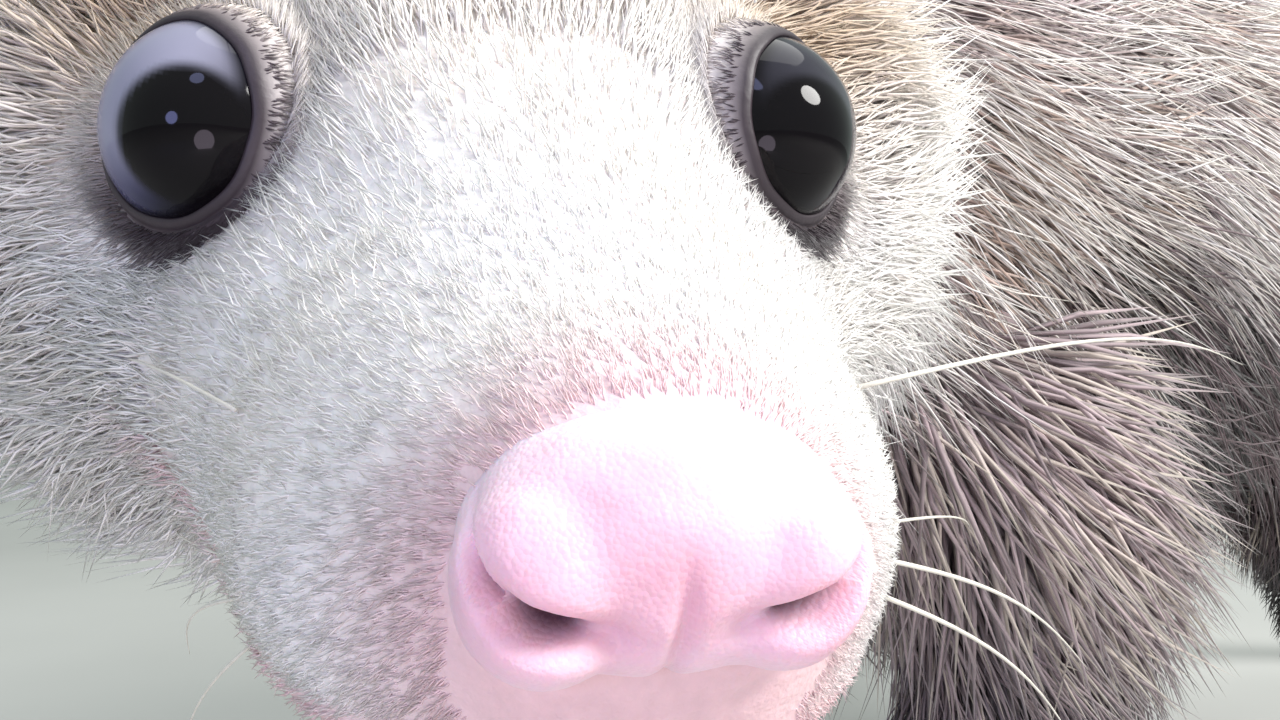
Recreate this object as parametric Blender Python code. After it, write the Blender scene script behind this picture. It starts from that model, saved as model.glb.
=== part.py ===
"""A full-grown opossum, life size, standing on four feet with its head turned to its left.

The body lies along Y with the head towards -Y, its left side towards +X, and the floor at Z 0.
All sizes are in millimetres until a mesh is made, which is in metres.
"""

import math
import random
from collections import namedtuple

import bmesh
import bpy
from mathutils import Matrix, Vector

MM = 0.001
GAP = 0.3

# The head turns to the animal's left, dips towards the floor and leans a little to its right.
# Its own axes run forward, left and up from between the eyes.
HEAD_TURN = math.radians(51.4)
HEAD_DIP = math.radians(18.0)
HEAD_LEAN = math.radians(1.8)
EYE_MIDDLE = Vector((63.3, -228.7, 142.3))

EYE_RADIUS = 7.6
EYE_PLACE = Vector((-1.4, 19.4, -1.5))
EYE_OUT = math.radians(44)
EYE_UP = math.radians(18)
LID_RADIUS = 6.9
LID_THICKNESS = 1.1
LID_STEPS = 16
LID_SIDES = 6

NOSE_PLACE = Vector((46.2, 0.0, -11.0))
NOSE_SIZE = Vector((6.0, 8.6, 6.0))
WING_PLACE = Vector((48.2, 5.2, -11.8))
WING_SIZE = Vector((4.4, 3.8, 4.6))
NOSTRIL_PLACE = Vector((52.6, 6.4, -12.2))
NOSTRIL_SIZE = Vector((4.2, 1.4, 2.0))
NOSTRIL_OUT = math.radians(40)
GROOVE_PLACE = Vector((53.6, 0.0, -14.5))
GROOVE_SIZE = Vector((2.2, 0.7, 6.5))

MOUTH_FRONT = 48.0
MOUTH_BACK = 3.0
MOUTH_HEIGHT = -22.5
MOUTH_SAG = 3.6
MOUTH_HALF_GAP = 0.55
MOUTH_DEPTH = 2.6
LIP_STEPS = (62.0, 50.0, 42.0, 34.0, 26.0, 18.0, 10.0, 3.0)
JAW_INSET = 1.8
JAW_RETREAT = 3.0

# Swellings and hollows of the face on each side, in the head's axes: place, reach and height.
FACE_FORMS = (
    (Vector((0, 18, 11)), 8, 1.4),
    (Vector((4, 23, 0)), 9, -2.6),
    (Vector((16, 14, 0)), 9, -1.6),
    (Vector((34, 14, -18)), 9, 1.4),
    (Vector((-8, 32, -12)), 14, 1.8),
)
FURROW_DEPTH = 0.9

EAR_HEIGHT = 47.0
EAR_HALF_WIDTH = 24.5
EAR_ROOT = 0.5
EAR_WIDEST = 0.56
EAR_WALL = 1.3
EAR_CUP = 9.0
EAR_SUNK = 0.16
EAR_PLACE = Vector((-42.0, 25.0, 20.0))
EAR_LEAN_OUT = math.radians(24)
EAR_LEAN_BACK = math.radians(14)
EAR_FACE_OUT = math.radians(34)
EAR_COLUMNS = 12
EAR_ROWS = (0.0, 0.12, 0.25, 0.4, 0.55, 0.7, 0.82, 0.91, 0.97)

LOCK_SPACING = 38.0
LOCK_LENGTH = 62.0
LOCK_HALF_WIDTH = 15.5
LOCK_HALF_DEPTH = 2.4
LOCK_SINK = 4.0
LOCK_LIFT = 13.5
LOCK_FALL = math.radians(24)
LOCK_STEPS = 10
LOCK_SEED = 12
# A lock's outline: share of its length, share of its lift and share of its half width. The root is sunk.
LOCK_OUTLINE = ((0.2, 0.34, 1.0), (0.6, 0.76, 0.84))
LOCK_ROOT_WIDTH = 0.6
NECK_LOCK_SIZE = 0.8

COLOURS = {
    "white_fur": ((0.86, 0.82, 0.76), 0.9),
    "grey_fur": ((0.46, 0.42, 0.39), 0.95),
    "black_fur": ((0.06, 0.05, 0.05), 0.9),
    "ear_skin": ((0.07, 0.06, 0.07), 0.6),
    "foot_skin": ((0.62, 0.46, 0.44), 0.6),
    "tail_skin": ((0.55, 0.45, 0.42), 0.65),
    "eye": ((0.015, 0.012, 0.012), 0.08),
}

# One cross-section: its middle, the way it faces, its half width, how far it rises and drops, and the
# squareness of its upper and lower halves, where 2 is an ellipse.
Section = namedtuple("Section", "middle turn dip lean half_width rise drop upper lower")


def clear_scene():
    for item in list(bpy.data.objects):
        bpy.data.objects.remove(item)


def axes_of(turn, dip, lean):
    """The forward, left and up directions of what turns left, dips its front and leans right."""
    forward = Vector((
        math.sin(turn) * math.cos(dip),
        -math.cos(turn) * math.cos(dip),
        -math.sin(dip),
    ))
    level = Vector((math.cos(turn), math.sin(turn), 0.0))
    upright = forward.cross(level)
    left = level * math.cos(lean) + upright * math.sin(lean)
    return forward, left, forward.cross(left)


HEAD_FORWARD, HEAD_LEFT, HEAD_UP = axes_of(HEAD_TURN, HEAD_DIP, HEAD_LEAN)


def head_direction(forward, left, up):
    return HEAD_FORWARD * forward + HEAD_LEFT * left + HEAD_UP * up


def head_point(forward, left, up):
    return EYE_MIDDLE + head_direction(forward, left, up)


def head_local(point):
    """The forward, left and up distances of a point from the middle of the eyes."""
    away = point - EYE_MIDDLE
    return Vector((away.dot(HEAD_FORWARD), away.dot(HEAD_LEFT), away.dot(HEAD_UP)))


# Head sections without the coat, in the head's own axes:
# forward, height of the widest place, half width, top, bottom, squareness above and below, depth of coat.
HEAD_SECTIONS = (
    (48.8, -13.0, 5.2, -8.0, -18.5, 2.0, 2.0, 0.2),
    (47.6, -13.5, 7.4, -6.0, -21.5, 2.1, 2.1, 0.3),
    (44.5, -15.0, 10.2, -4.0, -25.5, 2.0, 2.2, 0.8),
    (38.0, -17.0, 14.0, -2.6, -29.0, 1.85, 2.3, 1.2),
    (28.5, -18.0, 17.6, -0.6, -32.0, 1.8, 2.3, 1.6),
    (18.0, -17.5, 20.2, 2.4, -34.0, 1.8, 2.3, 2.0),
    (8.0, -16.0, 23.2, 6.2, -35.5, 1.8, 2.2, 2.2),
    (0.0, -13.5, 26.8, 10.2, -38.5, 1.85, 2.3, 3.4),
    (-10.0, -12.0, 32.8, 14.2, -41.5, 1.85, 2.4, 7.6),
    (-22.0, -11.0, 39.0, 17.6, -42.5, 1.9, 2.4, 12.3),
    (-36.0, -9.0, 38.5, 19.6, -41.5, 1.95, 2.3, 13.3),
    (-52.0, -6.0, 35.0, 20.0, -38.5, 2.0, 2.1, 11.0),
)

# Neck and trunk: x, y, z of the middle, turn and dip in degrees, half width, rise, drop, depth of the
# coat's core.
TRUNK_SECTIONS = (
    (10.5, -171.0, 151.5, 36.0, 8.0, 36.0, 37.0, 42.0, 8.5),
    (1.5, -145.0, 148.5, 8.0, 2.0, 41.0, 45.5, 48.5, 8.5),
    (0.0, -112.0, 147.0, 0.0, 0.0, 46.5, 54.0, 54.0, 8.5),
    (0.0, -75.0, 148.5, 0.0, 0.0, 51.5, 60.0, 60.0, 8.5),
    (0.0, -30.0, 150.0, 0.0, 0.0, 55.5, 64.5, 63.5, 8.5),
    (0.0, 15.0, 151.0, 0.0, 0.0, 58.5, 67.0, 64.5, 8.5),
    (0.0, 60.0, 152.0, 0.0, 0.0, 60.0, 66.5, 63.0, 8.5),
    (0.0, 100.0, 151.5, 0.0, 0.0, 57.0, 62.0, 59.0, 8.5),
    (0.0, 135.0, 149.0, 0.0, 0.0, 48.0, 52.5, 49.0, 8.0),
    (0.0, 162.0, 146.0, 0.0, -4.0, 35.0, 39.0, 35.0, 7.0),
    (0.5, 183.0, 142.0, 0.0, -12.0, 22.5, 25.0, 22.0, 6.0),
)

# The tail's middle line, its half width and the depth of its coat, from its root to its tip.
TAIL_POINTS = (
    (1.0, 201.0, 136.0, 16.0, 4.5),
    (4.0, 224.0, 123.0, 13.4, 2.5),
    (11.0, 250.0, 104.0, 11.8, 0.8),
    (22.0, 280.0, 80.0, 10.6, 0.2),
    (36.0, 310.0, 57.0, 9.6, 0.2),
    (52.0, 342.0, 38.0, 8.6, 0.2),
    (66.0, 376.0, 26.0, 7.5, 0.2),
    (73.0, 412.0, 21.0, 6.4, 0.2),
    (69.0, 446.0, 22.0, 5.3, 0.2),
    (56.0, 474.0, 28.0, 4.2, 0.2),
    (40.0, 492.0, 38.0, 2.6, 0.2),
)

# Where the spine is parted, as places between the sections counted from the nose.
HEAD_PLACES = (
    0, 0.35, 0.8, 1.3, 1.8, 2.4, 3, 3.5, 4, 4.5, 5, 5.4, 5.8, 6.2, 6.6, 7, 7.4, 7.8, 8.3, 8.8, 9.3, 9.8,
    10.35, 10.9,
)
NECK_PLACES = (10.9, 11.25, 11.6, 11.95, 12.3, 12.65, 13.0)
HEAD_END = HEAD_PLACES[-1]
NECK_END = NECK_PLACES[-1]
SPINE_SIDES = 28
TAIL_SIDES = 12
TORSO_PLACES = (
    13.0, 13.5, 14.0, 14.6, 15.2, 16.0, 17.0, 18.0, 19.0, 19.7, 20.4, 21.0, 21.6, 22.2, 22.7, 23.2,
)
TORSO_END = TORSO_PLACES[-1]
RUMP_START = 20.4
TAIL_PARTS = (("tail_base", 27.0), ("tail_middle", 30.0), ("tail_tip", 33.0))

# Left limbs, each a middle line with half widths across and along the body. The right ones are mirrored.
FORELEG = (
    (38.0, -103.0, 132.0, 17.0, 26.0),
    (46.0, -101.0, 108.0, 16.0, 22.0),
    (50.0, -98.0, 86.0, 14.0, 17.5),
    (49.0, -105.0, 60.0, 11.5, 13.5),
    (47.0, -113.0, 34.0, 9.0, 10.5),
    (47.0, -117.0, 19.0, 8.5, 9.5),
)
HIND_LEG = (
    (42.0, 96.0, 132.0, 24.0, 44.0),
    (52.0, 90.0, 108.0, 21.0, 35.0),
    (57.0, 84.0, 86.0, 17.0, 25.0),
    (57.0, 96.0, 60.0, 13.0, 16.0),
    (55.0, 112.0, 36.0, 9.5, 11.0),
    (54.0, 118.0, 20.0, 9.0, 10.0),
)
LEG_SIDES = 14
LEG_START = 2.2
LEG_PLACES = (LEG_START, 2.8, 3.2, 3.6, 4.0, 4.5, 5.0)
LEG_COAT = 3.5
STRIDE = {"foreleg_left": -6.0, "foreleg_right": 9.0, "hindleg_left": 5.0, "hindleg_right": -9.0}

# Each toe's heading from straight ahead, outwards, then its length, half width and claw. The last hind one
# is the thumb, which has none.
FORE_TOES = (
    (-50, 12.6, 2.6, 5.2),
    (-24, 15.6, 2.7, 5.8),
    (3, 16.8, 2.8, 6.0),
    (29, 15.8, 2.7, 5.8),
    (57, 12.4, 2.5, 5.2),
)
HIND_TOES = (
    (-27, 15.8, 2.8, 6.0),
    (-5, 18.0, 2.9, 6.4),
    (18, 17.8, 2.8, 6.4),
    (43, 14.8, 2.6, 5.8),
    (-97, 14.6, 3.3, 0),
)
TOE_SIDES = 5

# A foot: how far its pad lies ahead of the ankle, the pad's half width and half length, and how far the
# ankle's lowest ring lies ahead.
Foot = namedtuple("Foot", "pad_ahead half_width half_length ankle_ahead toes")
FORE_FOOT = Foot(13.0, 12.0, 14.0, 6.0, FORE_TOES)
HIND_FOOT = Foot(26.0, 12.5, 17.0, 3.0, HIND_TOES)
PAD_MIDDLE = 5.2
PAD_HALF_HEIGHT = 7.7
HEEL_AHEAD = 4.0
HEEL_MIDDLE = 5.4
HEEL_SIZE = (10.0, 15.0, 7.4)
ANKLE_HEIGHT = 5.0
ANKLE_HALF_SIZES = (9.5, 10.5)


def smooth_row(rows, place):
    """The row at a place between rows of numbers, on a smooth curve through them all."""
    index = min(max(int(math.floor(place)), 0), len(rows) - 2)
    share = place - index
    before = rows[max(index - 1, 0)]
    here = rows[index]
    after = rows[index + 1]
    beyond = rows[min(index + 2, len(rows) - 1)]
    found = []
    for a, b, c, d in zip(before, here, after, beyond):
        slope_in = (c - a) / 2
        slope_out = (d - b) / 2
        found.append(
            b
            + share * slope_in
            + share**2 * (3 * (c - b) - 2 * slope_in - slope_out)
            + share**3 * (2 * (b - c) + slope_in + slope_out)
        )
    return found


def spine_rows():
    """Every section of the spine from nose to tail tip, as rows of plain numbers."""
    rows = []
    for forward, height, half_width, top, bottom, upper, lower, coat in HEAD_SECTIONS:
        middle = head_point(forward, 0, height)
        facing = (HEAD_TURN, HEAD_DIP, HEAD_LEAN)
        rows.append((*middle, *facing, half_width, top - height, height - bottom, upper, lower, coat))
    for x, y, z, turn, dip, half_width, rise, drop, coat in TRUNK_SECTIONS:
        facing = (math.radians(turn), math.radians(dip), 0.0)
        rows.append((x, y, z, *facing, half_width, rise, drop, 2.1, 2.1, coat))
    for index, (x, y, z, radius, coat) in enumerate(TAIL_POINTS):
        ahead = Vector(TAIL_POINTS[max(index - 1, 0)][:3])
        behind = Vector(TAIL_POINTS[min(index + 1, len(TAIL_POINTS) - 1)][:3])
        forward = (ahead - behind).normalized()
        turn = math.atan2(forward.x, -forward.y)
        rows.append((x, y, z, turn, -math.asin(forward.z), 0.0, radius, radius, radius, 2.0, 2.0, coat))
    return rows


SPINE = spine_rows()


def spine_section(place):
    x, y, z, turn, dip, lean, half_width, rise, drop, upper, lower, coat = smooth_row(SPINE, place)
    sizes = (half_width + coat, rise + coat, drop + coat)
    return Section(Vector((x, y, z)), turn, dip, lean, *sizes, upper, lower)


def section_point(section, angle, inset=0.0):
    """The point of a section at an angle, 0 on the left and a quarter turn on top, before any carving."""
    _, left, up = axes_of(section.turn, section.dip, section.lean)
    across = math.cos(angle)
    along = math.sin(angle)
    power = 2 / (section.upper if along >= 0 else section.lower)
    height = section.rise if along >= 0 else section.drop
    width = math.copysign(abs(across) ** power, across) * (section.half_width - inset)
    tall = math.copysign(abs(along) ** power, along) * (height - inset)
    return section.middle + left * width + up * tall


def mouth_height(forward):
    """The height of the mouth line at a distance forward of the eyes."""
    along = min(max((forward - MOUTH_BACK) / (MOUTH_FRONT - MOUTH_BACK), 0), 1)
    return MOUTH_HEIGHT - MOUTH_SAG * math.sin(math.pi * along)


def carve_head(point, section):
    """Shapes one point of the head: lower jaw, brows, cheeks, whisker pads and the dips before the eyes."""
    forward, left, up = head_local(point)
    side = 1 if left >= 0 else -1
    middle_height = (section.middle - EYE_MIDDLE).dot(HEAD_UP)
    outward = Vector((0.25, left, up - middle_height)).normalized()
    push = 0.0
    for place, reach, amount in FACE_FORMS:
        away = Vector((forward, side * left, up)) - place
        push += amount * math.exp(-(away.length / reach) ** 2)
    if up > 0:
        push -= FURROW_DEPTH * math.exp(-(left / 4.5) ** 2 - ((forward + 4) / 16) ** 2)
    below = min(max((mouth_height(forward) - up) / 3.0, 0), 1)
    jaw_share = min(max((forward + 30) / 36, 0), 1)
    chin_share = min(max((forward - 36) / 10, 0), 1)
    left -= side * below * JAW_INSET * jaw_share * min(abs(left) / 4, 1)
    forward -= below * JAW_RETREAT * chin_share
    moved = Vector((forward, left, up)) + outward * push
    return head_point(*moved)


def link(mesh, name):
    found = bpy.data.objects.new(name, mesh)
    bpy.context.scene.collection.objects.link(found)
    return found


def solid_from(shape, name):
    """A bmesh in millimetres as a mesh object in metres, with its faces turned outwards."""
    bmesh.ops.scale(shape, vec=(MM, MM, MM), verts=shape.verts)
    bmesh.ops.recalc_face_normals(shape, faces=shape.faces)
    mesh = bpy.data.meshes.new(name)
    shape.to_mesh(mesh)
    shape.free()
    return link(mesh, name)


def loft(name, rings):
    """A closed solid through rings of points, flat at both ends."""
    shape = bmesh.new()
    rows = [[shape.verts.new(point) for point in ring] for ring in rings]
    count = len(rows[0])
    for row, following in zip(rows, rows[1:]):
        for k in range(count):
            n = (k + 1) % count
            shape.faces.new((row[k], row[n], following[n], following[k]))
    shape.faces.new(rows[0])
    shape.faces.new(rows[-1])
    bmesh.ops.triangulate(shape, faces=shape.faces)
    return solid_from(shape, name)


def angles(count):
    """Evenly spaced angles round a section, with one on the midline of the back."""
    return [math.pi / 2 + 2 * math.pi * k / count for k in range(count)]


def spine_rings(places, count, start=0.0, end=0.0, swell=0.0):
    """Rings of points at places along the spine, grown by swell.

    The first ring is moved back along the body by start, and the last one by end.
    """
    rings = []
    for index, place in enumerate(places):
        section = spine_section(place)
        forward, _, _ = axes_of(section.turn, section.dip, section.lean)
        back = -forward * (start if index == 0 else end if index == len(places) - 1 else 0.0)
        ring = [section_point(section, angle, -swell) for angle in angles(count)]
        if place <= HEAD_END:
            ring = [carve_head(point, section) for point in ring]
        rings.append([point + back for point in ring])
    return rings


def clearance(rings):
    """A cutter that keeps a neighbour's space clear."""
    return loft("clearance", rings)


def places_between(start, end, count):
    return [start + (end - start) * k / (count - 1) for k in range(count)]


def join(target, others, operation="UNION"):
    """Adds the other solids to the target, or cuts them from it, and removes them."""
    group = bpy.data.collections.new("pieces")
    bpy.context.scene.collection.children.link(group)
    for item in others:
        bpy.context.scene.collection.objects.unlink(item)
        group.objects.link(item)
    boolean = target.modifiers.new("join", "BOOLEAN")
    boolean.operation = operation
    boolean.operand_type = "COLLECTION"
    boolean.collection = group
    boolean.solver = "EXACT"
    bpy.context.view_layer.update()
    mesh = bpy.data.meshes.new_from_object(
        target.evaluated_get(bpy.context.evaluated_depsgraph_get())
    )
    target.modifiers.remove(boolean)
    target.data = mesh
    for item in others:
        bpy.data.objects.remove(item)
    bpy.data.collections.remove(group)
    return target


def keep_largest(item):
    """Leaves only the largest closed surface of a solid."""
    shape = bmesh.new()
    shape.from_mesh(item.data)
    left_over = set(shape.verts)
    islands = []
    while left_over:
        island = {left_over.pop()}
        edge_of_search = list(island)
        while edge_of_search:
            vertex = edge_of_search.pop()
            for edge in vertex.link_edges:
                other = edge.other_vert(vertex)
                if other in left_over:
                    left_over.discard(other)
                    island.add(other)
                    edge_of_search.append(other)
        islands.append(island)
    islands.sort(key=len)
    for island in islands[:-1]:
        bmesh.ops.delete(shape, geom=list(island), context="VERTS")
    shape.to_mesh(item.data)
    shape.free()


def paint(item, slot):
    colour, roughness = COLOURS[slot]
    material = bpy.data.materials.get(slot)
    if material is None:
        material = bpy.data.materials.new(slot)
        material.use_nodes = True
        shader = material.node_tree.nodes["Principled BSDF"]
        shader.inputs["Base Color"].default_value = (*colour, 1.0)
        shader.inputs["Roughness"].default_value = roughness
        shader.inputs["Metallic"].default_value = 0.0
        material.diffuse_color = (*colour, 1.0)
    item.data.materials.clear()
    item.data.materials.append(material)
    item.data.shade_smooth()
    item.data.set_sharp_from_angle(angle=math.radians(40))


def ball(name, centre, radii, turned=None, segments=14, rings=10):
    """An ellipsoid with its own half sizes, turned by a matrix."""
    shape = bmesh.new()
    bmesh.ops.create_uvsphere(shape, u_segments=segments, v_segments=rings, radius=1.0)
    turned = turned or Matrix.Identity(3)
    for vertex in shape.verts:
        vertex.co = centre + turned @ Vector(a * b for a, b in zip(vertex.co, radii))
    return solid_from(shape, name)


def matrix_from(x_axis, y_axis, z_axis):
    return Matrix((x_axis, y_axis, z_axis)).transposed()


HEAD_AXES = matrix_from(HEAD_FORWARD, HEAD_LEFT, HEAD_UP)


def eye_axis(side):
    return head_direction(
        math.cos(EYE_OUT) * math.cos(EYE_UP),
        side * math.sin(EYE_OUT) * math.cos(EYE_UP),
        math.sin(EYE_UP),
    )


def eye_centre(side):
    return head_point(EYE_PLACE.x, side * EYE_PLACE.y, EYE_PLACE.z)


def lid(side):
    """The rim of skin round an eye: a ring that lies on the ball where it leaves the head."""
    axis = eye_axis(side)
    across = axis.cross(HEAD_UP).normalized()
    tall = across.cross(axis).normalized()
    centre = eye_centre(side) + axis * math.sqrt(EYE_RADIUS**2 - LID_RADIUS**2)
    shape = bmesh.new()
    rows = []
    for k in range(LID_STEPS):
        turn = 2 * math.pi * k / LID_STEPS
        outward = across * math.cos(turn) + tall * math.sin(turn)
        row = []
        for j in range(LID_SIDES):
            roll = 2 * math.pi * j / LID_SIDES
            reach = LID_RADIUS + LID_THICKNESS * math.cos(roll)
            row.append(shape.verts.new(centre + outward * reach + axis * LID_THICKNESS * math.sin(roll)))
        rows.append(row)
    for k, row in enumerate(rows):
        following = rows[(k + 1) % len(rows)]
        for j in range(LID_SIDES):
            n = (j + 1) % LID_SIDES
            shape.faces.new((row[j], row[n], following[n], following[j]))
    return solid_from(shape, "lid")


def mouth_cut():
    """A thin curved blade round the head that leaves the line of the mouth in it."""
    blade = bmesh.new()
    reach, half = 40.0, MOUTH_HALF_GAP
    rows = []
    for forward in LIP_STEPS:
        height = mouth_height(forward)
        rows.append([
            blade.verts.new(head_point(forward, left, height + up))
            for left, up in ((-reach, -half), (reach, -half), (reach, half), (-reach, half))
        ])
    for row, following in zip(rows, rows[1:]):
        for k in range(4):
            n = (k + 1) % 4
            blade.faces.new((row[k], row[n], following[n], following[k]))
    blade.faces.new(rows[0])
    blade.faces.new(rows[-1])
    blade = solid_from(blade, "mouth_blade")
    core = loft("mouth_core", spine_rings(places_between(0, 8, 20), SPINE_SIDES, swell=-MOUTH_DEPTH))
    core.data.transform(Matrix.Translation(HEAD_FORWARD * -1.6 * MM))
    return join(blade, [core], "DIFFERENCE")


def make_head():
    head = loft("head", spine_rings(HEAD_PLACES, SPINE_SIDES))
    additions = []
    for side in (-1, 1):
        additions.append(lid(side))
        wing = head_point(WING_PLACE.x, side * WING_PLACE.y, WING_PLACE.z)
        additions.append(ball("wing", wing, WING_SIZE, HEAD_AXES, 12, 8))
    additions.append(ball("nose", head_point(*NOSE_PLACE), NOSE_SIZE, HEAD_AXES, 16, 10))
    join(head, additions)
    cuts = [mouth_cut()]
    for side in (-1, 1):
        cuts.append(ball("socket", eye_centre(side), [EYE_RADIUS + GAP] * 3, None, 16, 10))
        nostril = head_point(NOSTRIL_PLACE.x, side * NOSTRIL_PLACE.y, NOSTRIL_PLACE.z)
        tilt = HEAD_AXES @ Matrix.Rotation(side * NOSTRIL_OUT, 3, "Z")
        cuts.append(ball("nostril", nostril, NOSTRIL_SIZE, tilt, 10, 8))
    cuts.append(ball("groove", head_point(*GROOVE_PLACE), GROOVE_SIZE, HEAD_AXES, 8, 8))
    join(head, cuts, "DIFFERENCE")
    keep_largest(head)
    paint(head, "white_fur")


def make_eyes():
    for side, name in ((1, "eye_left"), (-1, "eye_right")):
        paint(ball(name, eye_centre(side), [EYE_RADIUS] * 3, None, 16, 10), "eye")


def ear_point(side, across, height):
    """A point of an ear's sheet: across from -1 to 1 and height from 0 at the root to 1 at the rim."""
    if height < EAR_WIDEST:
        spread = EAR_ROOT + (1 - EAR_ROOT) * math.sin(math.pi / 2 * height / EAR_WIDEST)
    else:
        spread = math.sqrt(max(1 - ((height - EAR_WIDEST) / (1 - EAR_WIDEST)) ** 2, 0.0))
    angle = across * (1.35 * (1 - height) + 0.55)
    narrowing = math.sin(angle) / angle if abs(angle) > 1e-6 else 1.0
    width = across * EAR_HALF_WIDTH * spread * narrowing
    depth = EAR_CUP * ((1 - math.cos(angle)) * (1.7 - height) - 0.55)
    facing = head_direction(math.cos(EAR_FACE_OUT), side * math.sin(EAR_FACE_OUT), 0)
    sideways = head_direction(-math.sin(EAR_FACE_OUT), side * math.cos(EAR_FACE_OUT), 0)
    up = HEAD_UP + sideways * math.tan(EAR_LEAN_OUT) - facing * math.tan(EAR_LEAN_BACK)
    root = head_point(EAR_PLACE.x, side * EAR_PLACE.y, EAR_PLACE.z)
    return root + sideways * width + facing * depth + up.normalized() * (height - EAR_SUNK) * EAR_HEIGHT


def make_ears():
    places = [-1 + 2 * column / EAR_COLUMNS for column in range(EAR_COLUMNS + 1)]
    for side, name in ((1, "ear_left"), (-1, "ear_right")):
        shape = bmesh.new()
        sheet = [
            [shape.verts.new(ear_point(side, across, height)) for across in places] for height in EAR_ROWS
        ]
        for lower, upper in zip(sheet, sheet[1:]):
            for c in range(EAR_COLUMNS):
                shape.faces.new((lower[c], lower[c + 1], upper[c + 1], upper[c]))
        tip = shape.verts.new(ear_point(side, 0, 1.0))
        for c in range(EAR_COLUMNS):
            shape.faces.new((sheet[-1][c], sheet[-1][c + 1], tip))
        bmesh.ops.recalc_face_normals(shape, faces=shape.faces)
        bmesh.ops.triangulate(shape, faces=shape.faces)
        bmesh.ops.solidify(shape, geom=shape.faces[:], thickness=EAR_WALL)
        ear = solid_from(shape, name)
        room = clearance(spine_rings((*HEAD_PLACES, *NECK_PLACES[1:]), SPINE_SIDES, swell=GAP))
        join(ear, [room], "DIFFERENCE")
        keep_largest(ear)
        paint(ear, "ear_skin")


def limb_rings(rows, places, side, step, shift=0.0, swell=0.0):
    """Rings round a limb's middle line, grown by swell, the first one raised by shift."""
    surface = limb_surface(rows, side, step)
    rings = [[surface(place, angle, LEG_COAT + swell) for angle in angles(LEG_SIDES)] for place in places]
    rings[0] = [point + Vector((0, 0, shift)) for point in rings[0]]
    return rings


def limb_surface(rows, side, step):
    """The surface of one limb, by place down it, angle round it from its outer side, and height above.

    Step moves the limb along the body, most at the foot.
    """
    def point(place, angle, height):
        x, y, z, across, along = smooth_row(rows, place)
        stretch = min(max((rows[0][2] - z) / rows[0][2], 0), 1)
        return Vector((
            side * (x + math.cos(angle) * (across + height)),
            y + step * stretch + math.sin(angle) * (along + height),
            z,
        ))
    return point


def trunk_surface(place, angle, height):
    """The surface of the coat's core on the neck and trunk, by place along the spine, angle and height."""
    return section_point(spine_section(place), angle, -height)


def walk(surface, place, angle, heading, bend, length):
    """Evenly spaced places and angles along a course over a surface, which turns by bend on its way."""
    nudge = 0.02
    stride = length / LOCK_STEPS
    course = [(place, angle)]
    for k in range(LOCK_STEPS):
        here = surface(place, angle, 0)
        along = (surface(place + nudge, angle, 0) - here).length / nudge
        around = (surface(place, angle + nudge, 0) - here).length / nudge
        turn = heading + bend * k / LOCK_STEPS
        place += math.cos(turn) * stride / along
        angle += math.sin(turn) * stride / around
        course.append((place, angle))
    return course


def lock(surface, place, angle, heading, length, half_width, lift, bend, furthest=99.0):
    """A flat, tapered lock of hair that leaves a sunken root and bends down over the next ones.

    Heading 0 runs along the surface's places and a quarter turn runs along its angles. Bend turns the tip,
    which stops at the furthest place.
    """
    course = walk(surface, place, angle, heading, bend, length)
    while course[-1][0] > furthest:
        length *= 0.92
        course = walk(surface, place, angle, heading, bend, length)
    rings = []
    outline = [(0.0, -LOCK_SINK, LOCK_ROOT_WIDTH)]
    outline += [(share, lifted * lift, width) for share, lifted, width in LOCK_OUTLINE]
    for share, height, width in outline:
        step = round(share * LOCK_STEPS)
        spot, ahead = course[step], course[step + 1]
        centre = surface(*spot, height)
        outward = (surface(*spot, height + 1) - centre).normalized()
        onward = surface(*ahead, height) - centre
        across = onward.cross(outward).normalized() * half_width * width
        deep = outward * LOCK_HALF_DEPTH
        rings.append((centre + across, centre + deep, centre - across, centre - deep))
    shape = bmesh.new()
    rows = [[shape.verts.new(point) for point in ring] for ring in rings]
    tip = shape.verts.new(surface(*course[-1], lift))
    for row, following in zip(rows, rows[1:]):
        for k in range(4):
            n = (k + 1) % 4
            shape.faces.new((row[k], row[n], following[n], following[k]))
    for k in range(4):
        shape.faces.new((rows[-1][k], rows[-1][(k + 1) % 4], tip))
    shape.faces.new(rows[0])
    bmesh.ops.triangulate(shape, faces=shape.faces)
    return solid_from(shape, "lock")


def in_limb(point):
    """Whether a point lies inside the top of a limb, where a lock's root would be buried."""
    for _, rows, side, step in limb_table():
        x, y, z, across, along = smooth_row(rows, 0.6)
        if point.z < z + 12 and abs(point.x - side * x) < across * 1.1 and abs(point.y - y) < along * 0.95:
            return True
    return False


def lock_size(place):
    """How large the locks are at a place along the spine: smaller on the neck and towards the tail."""
    if place < NECK_END:
        return NECK_LOCK_SIZE
    return 1.0 - 0.5 * min(max((place - RUMP_START) / 2.4, 0), 1)


def girth_at(place):
    """The length round the coat's core at a place."""
    nudge = 2 * math.pi / 60
    return sum((trunk_surface(place, k * nudge, 0) - trunk_surface(place, (k + 1) * nudge, 0)).length
               for k in range(60))


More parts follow.
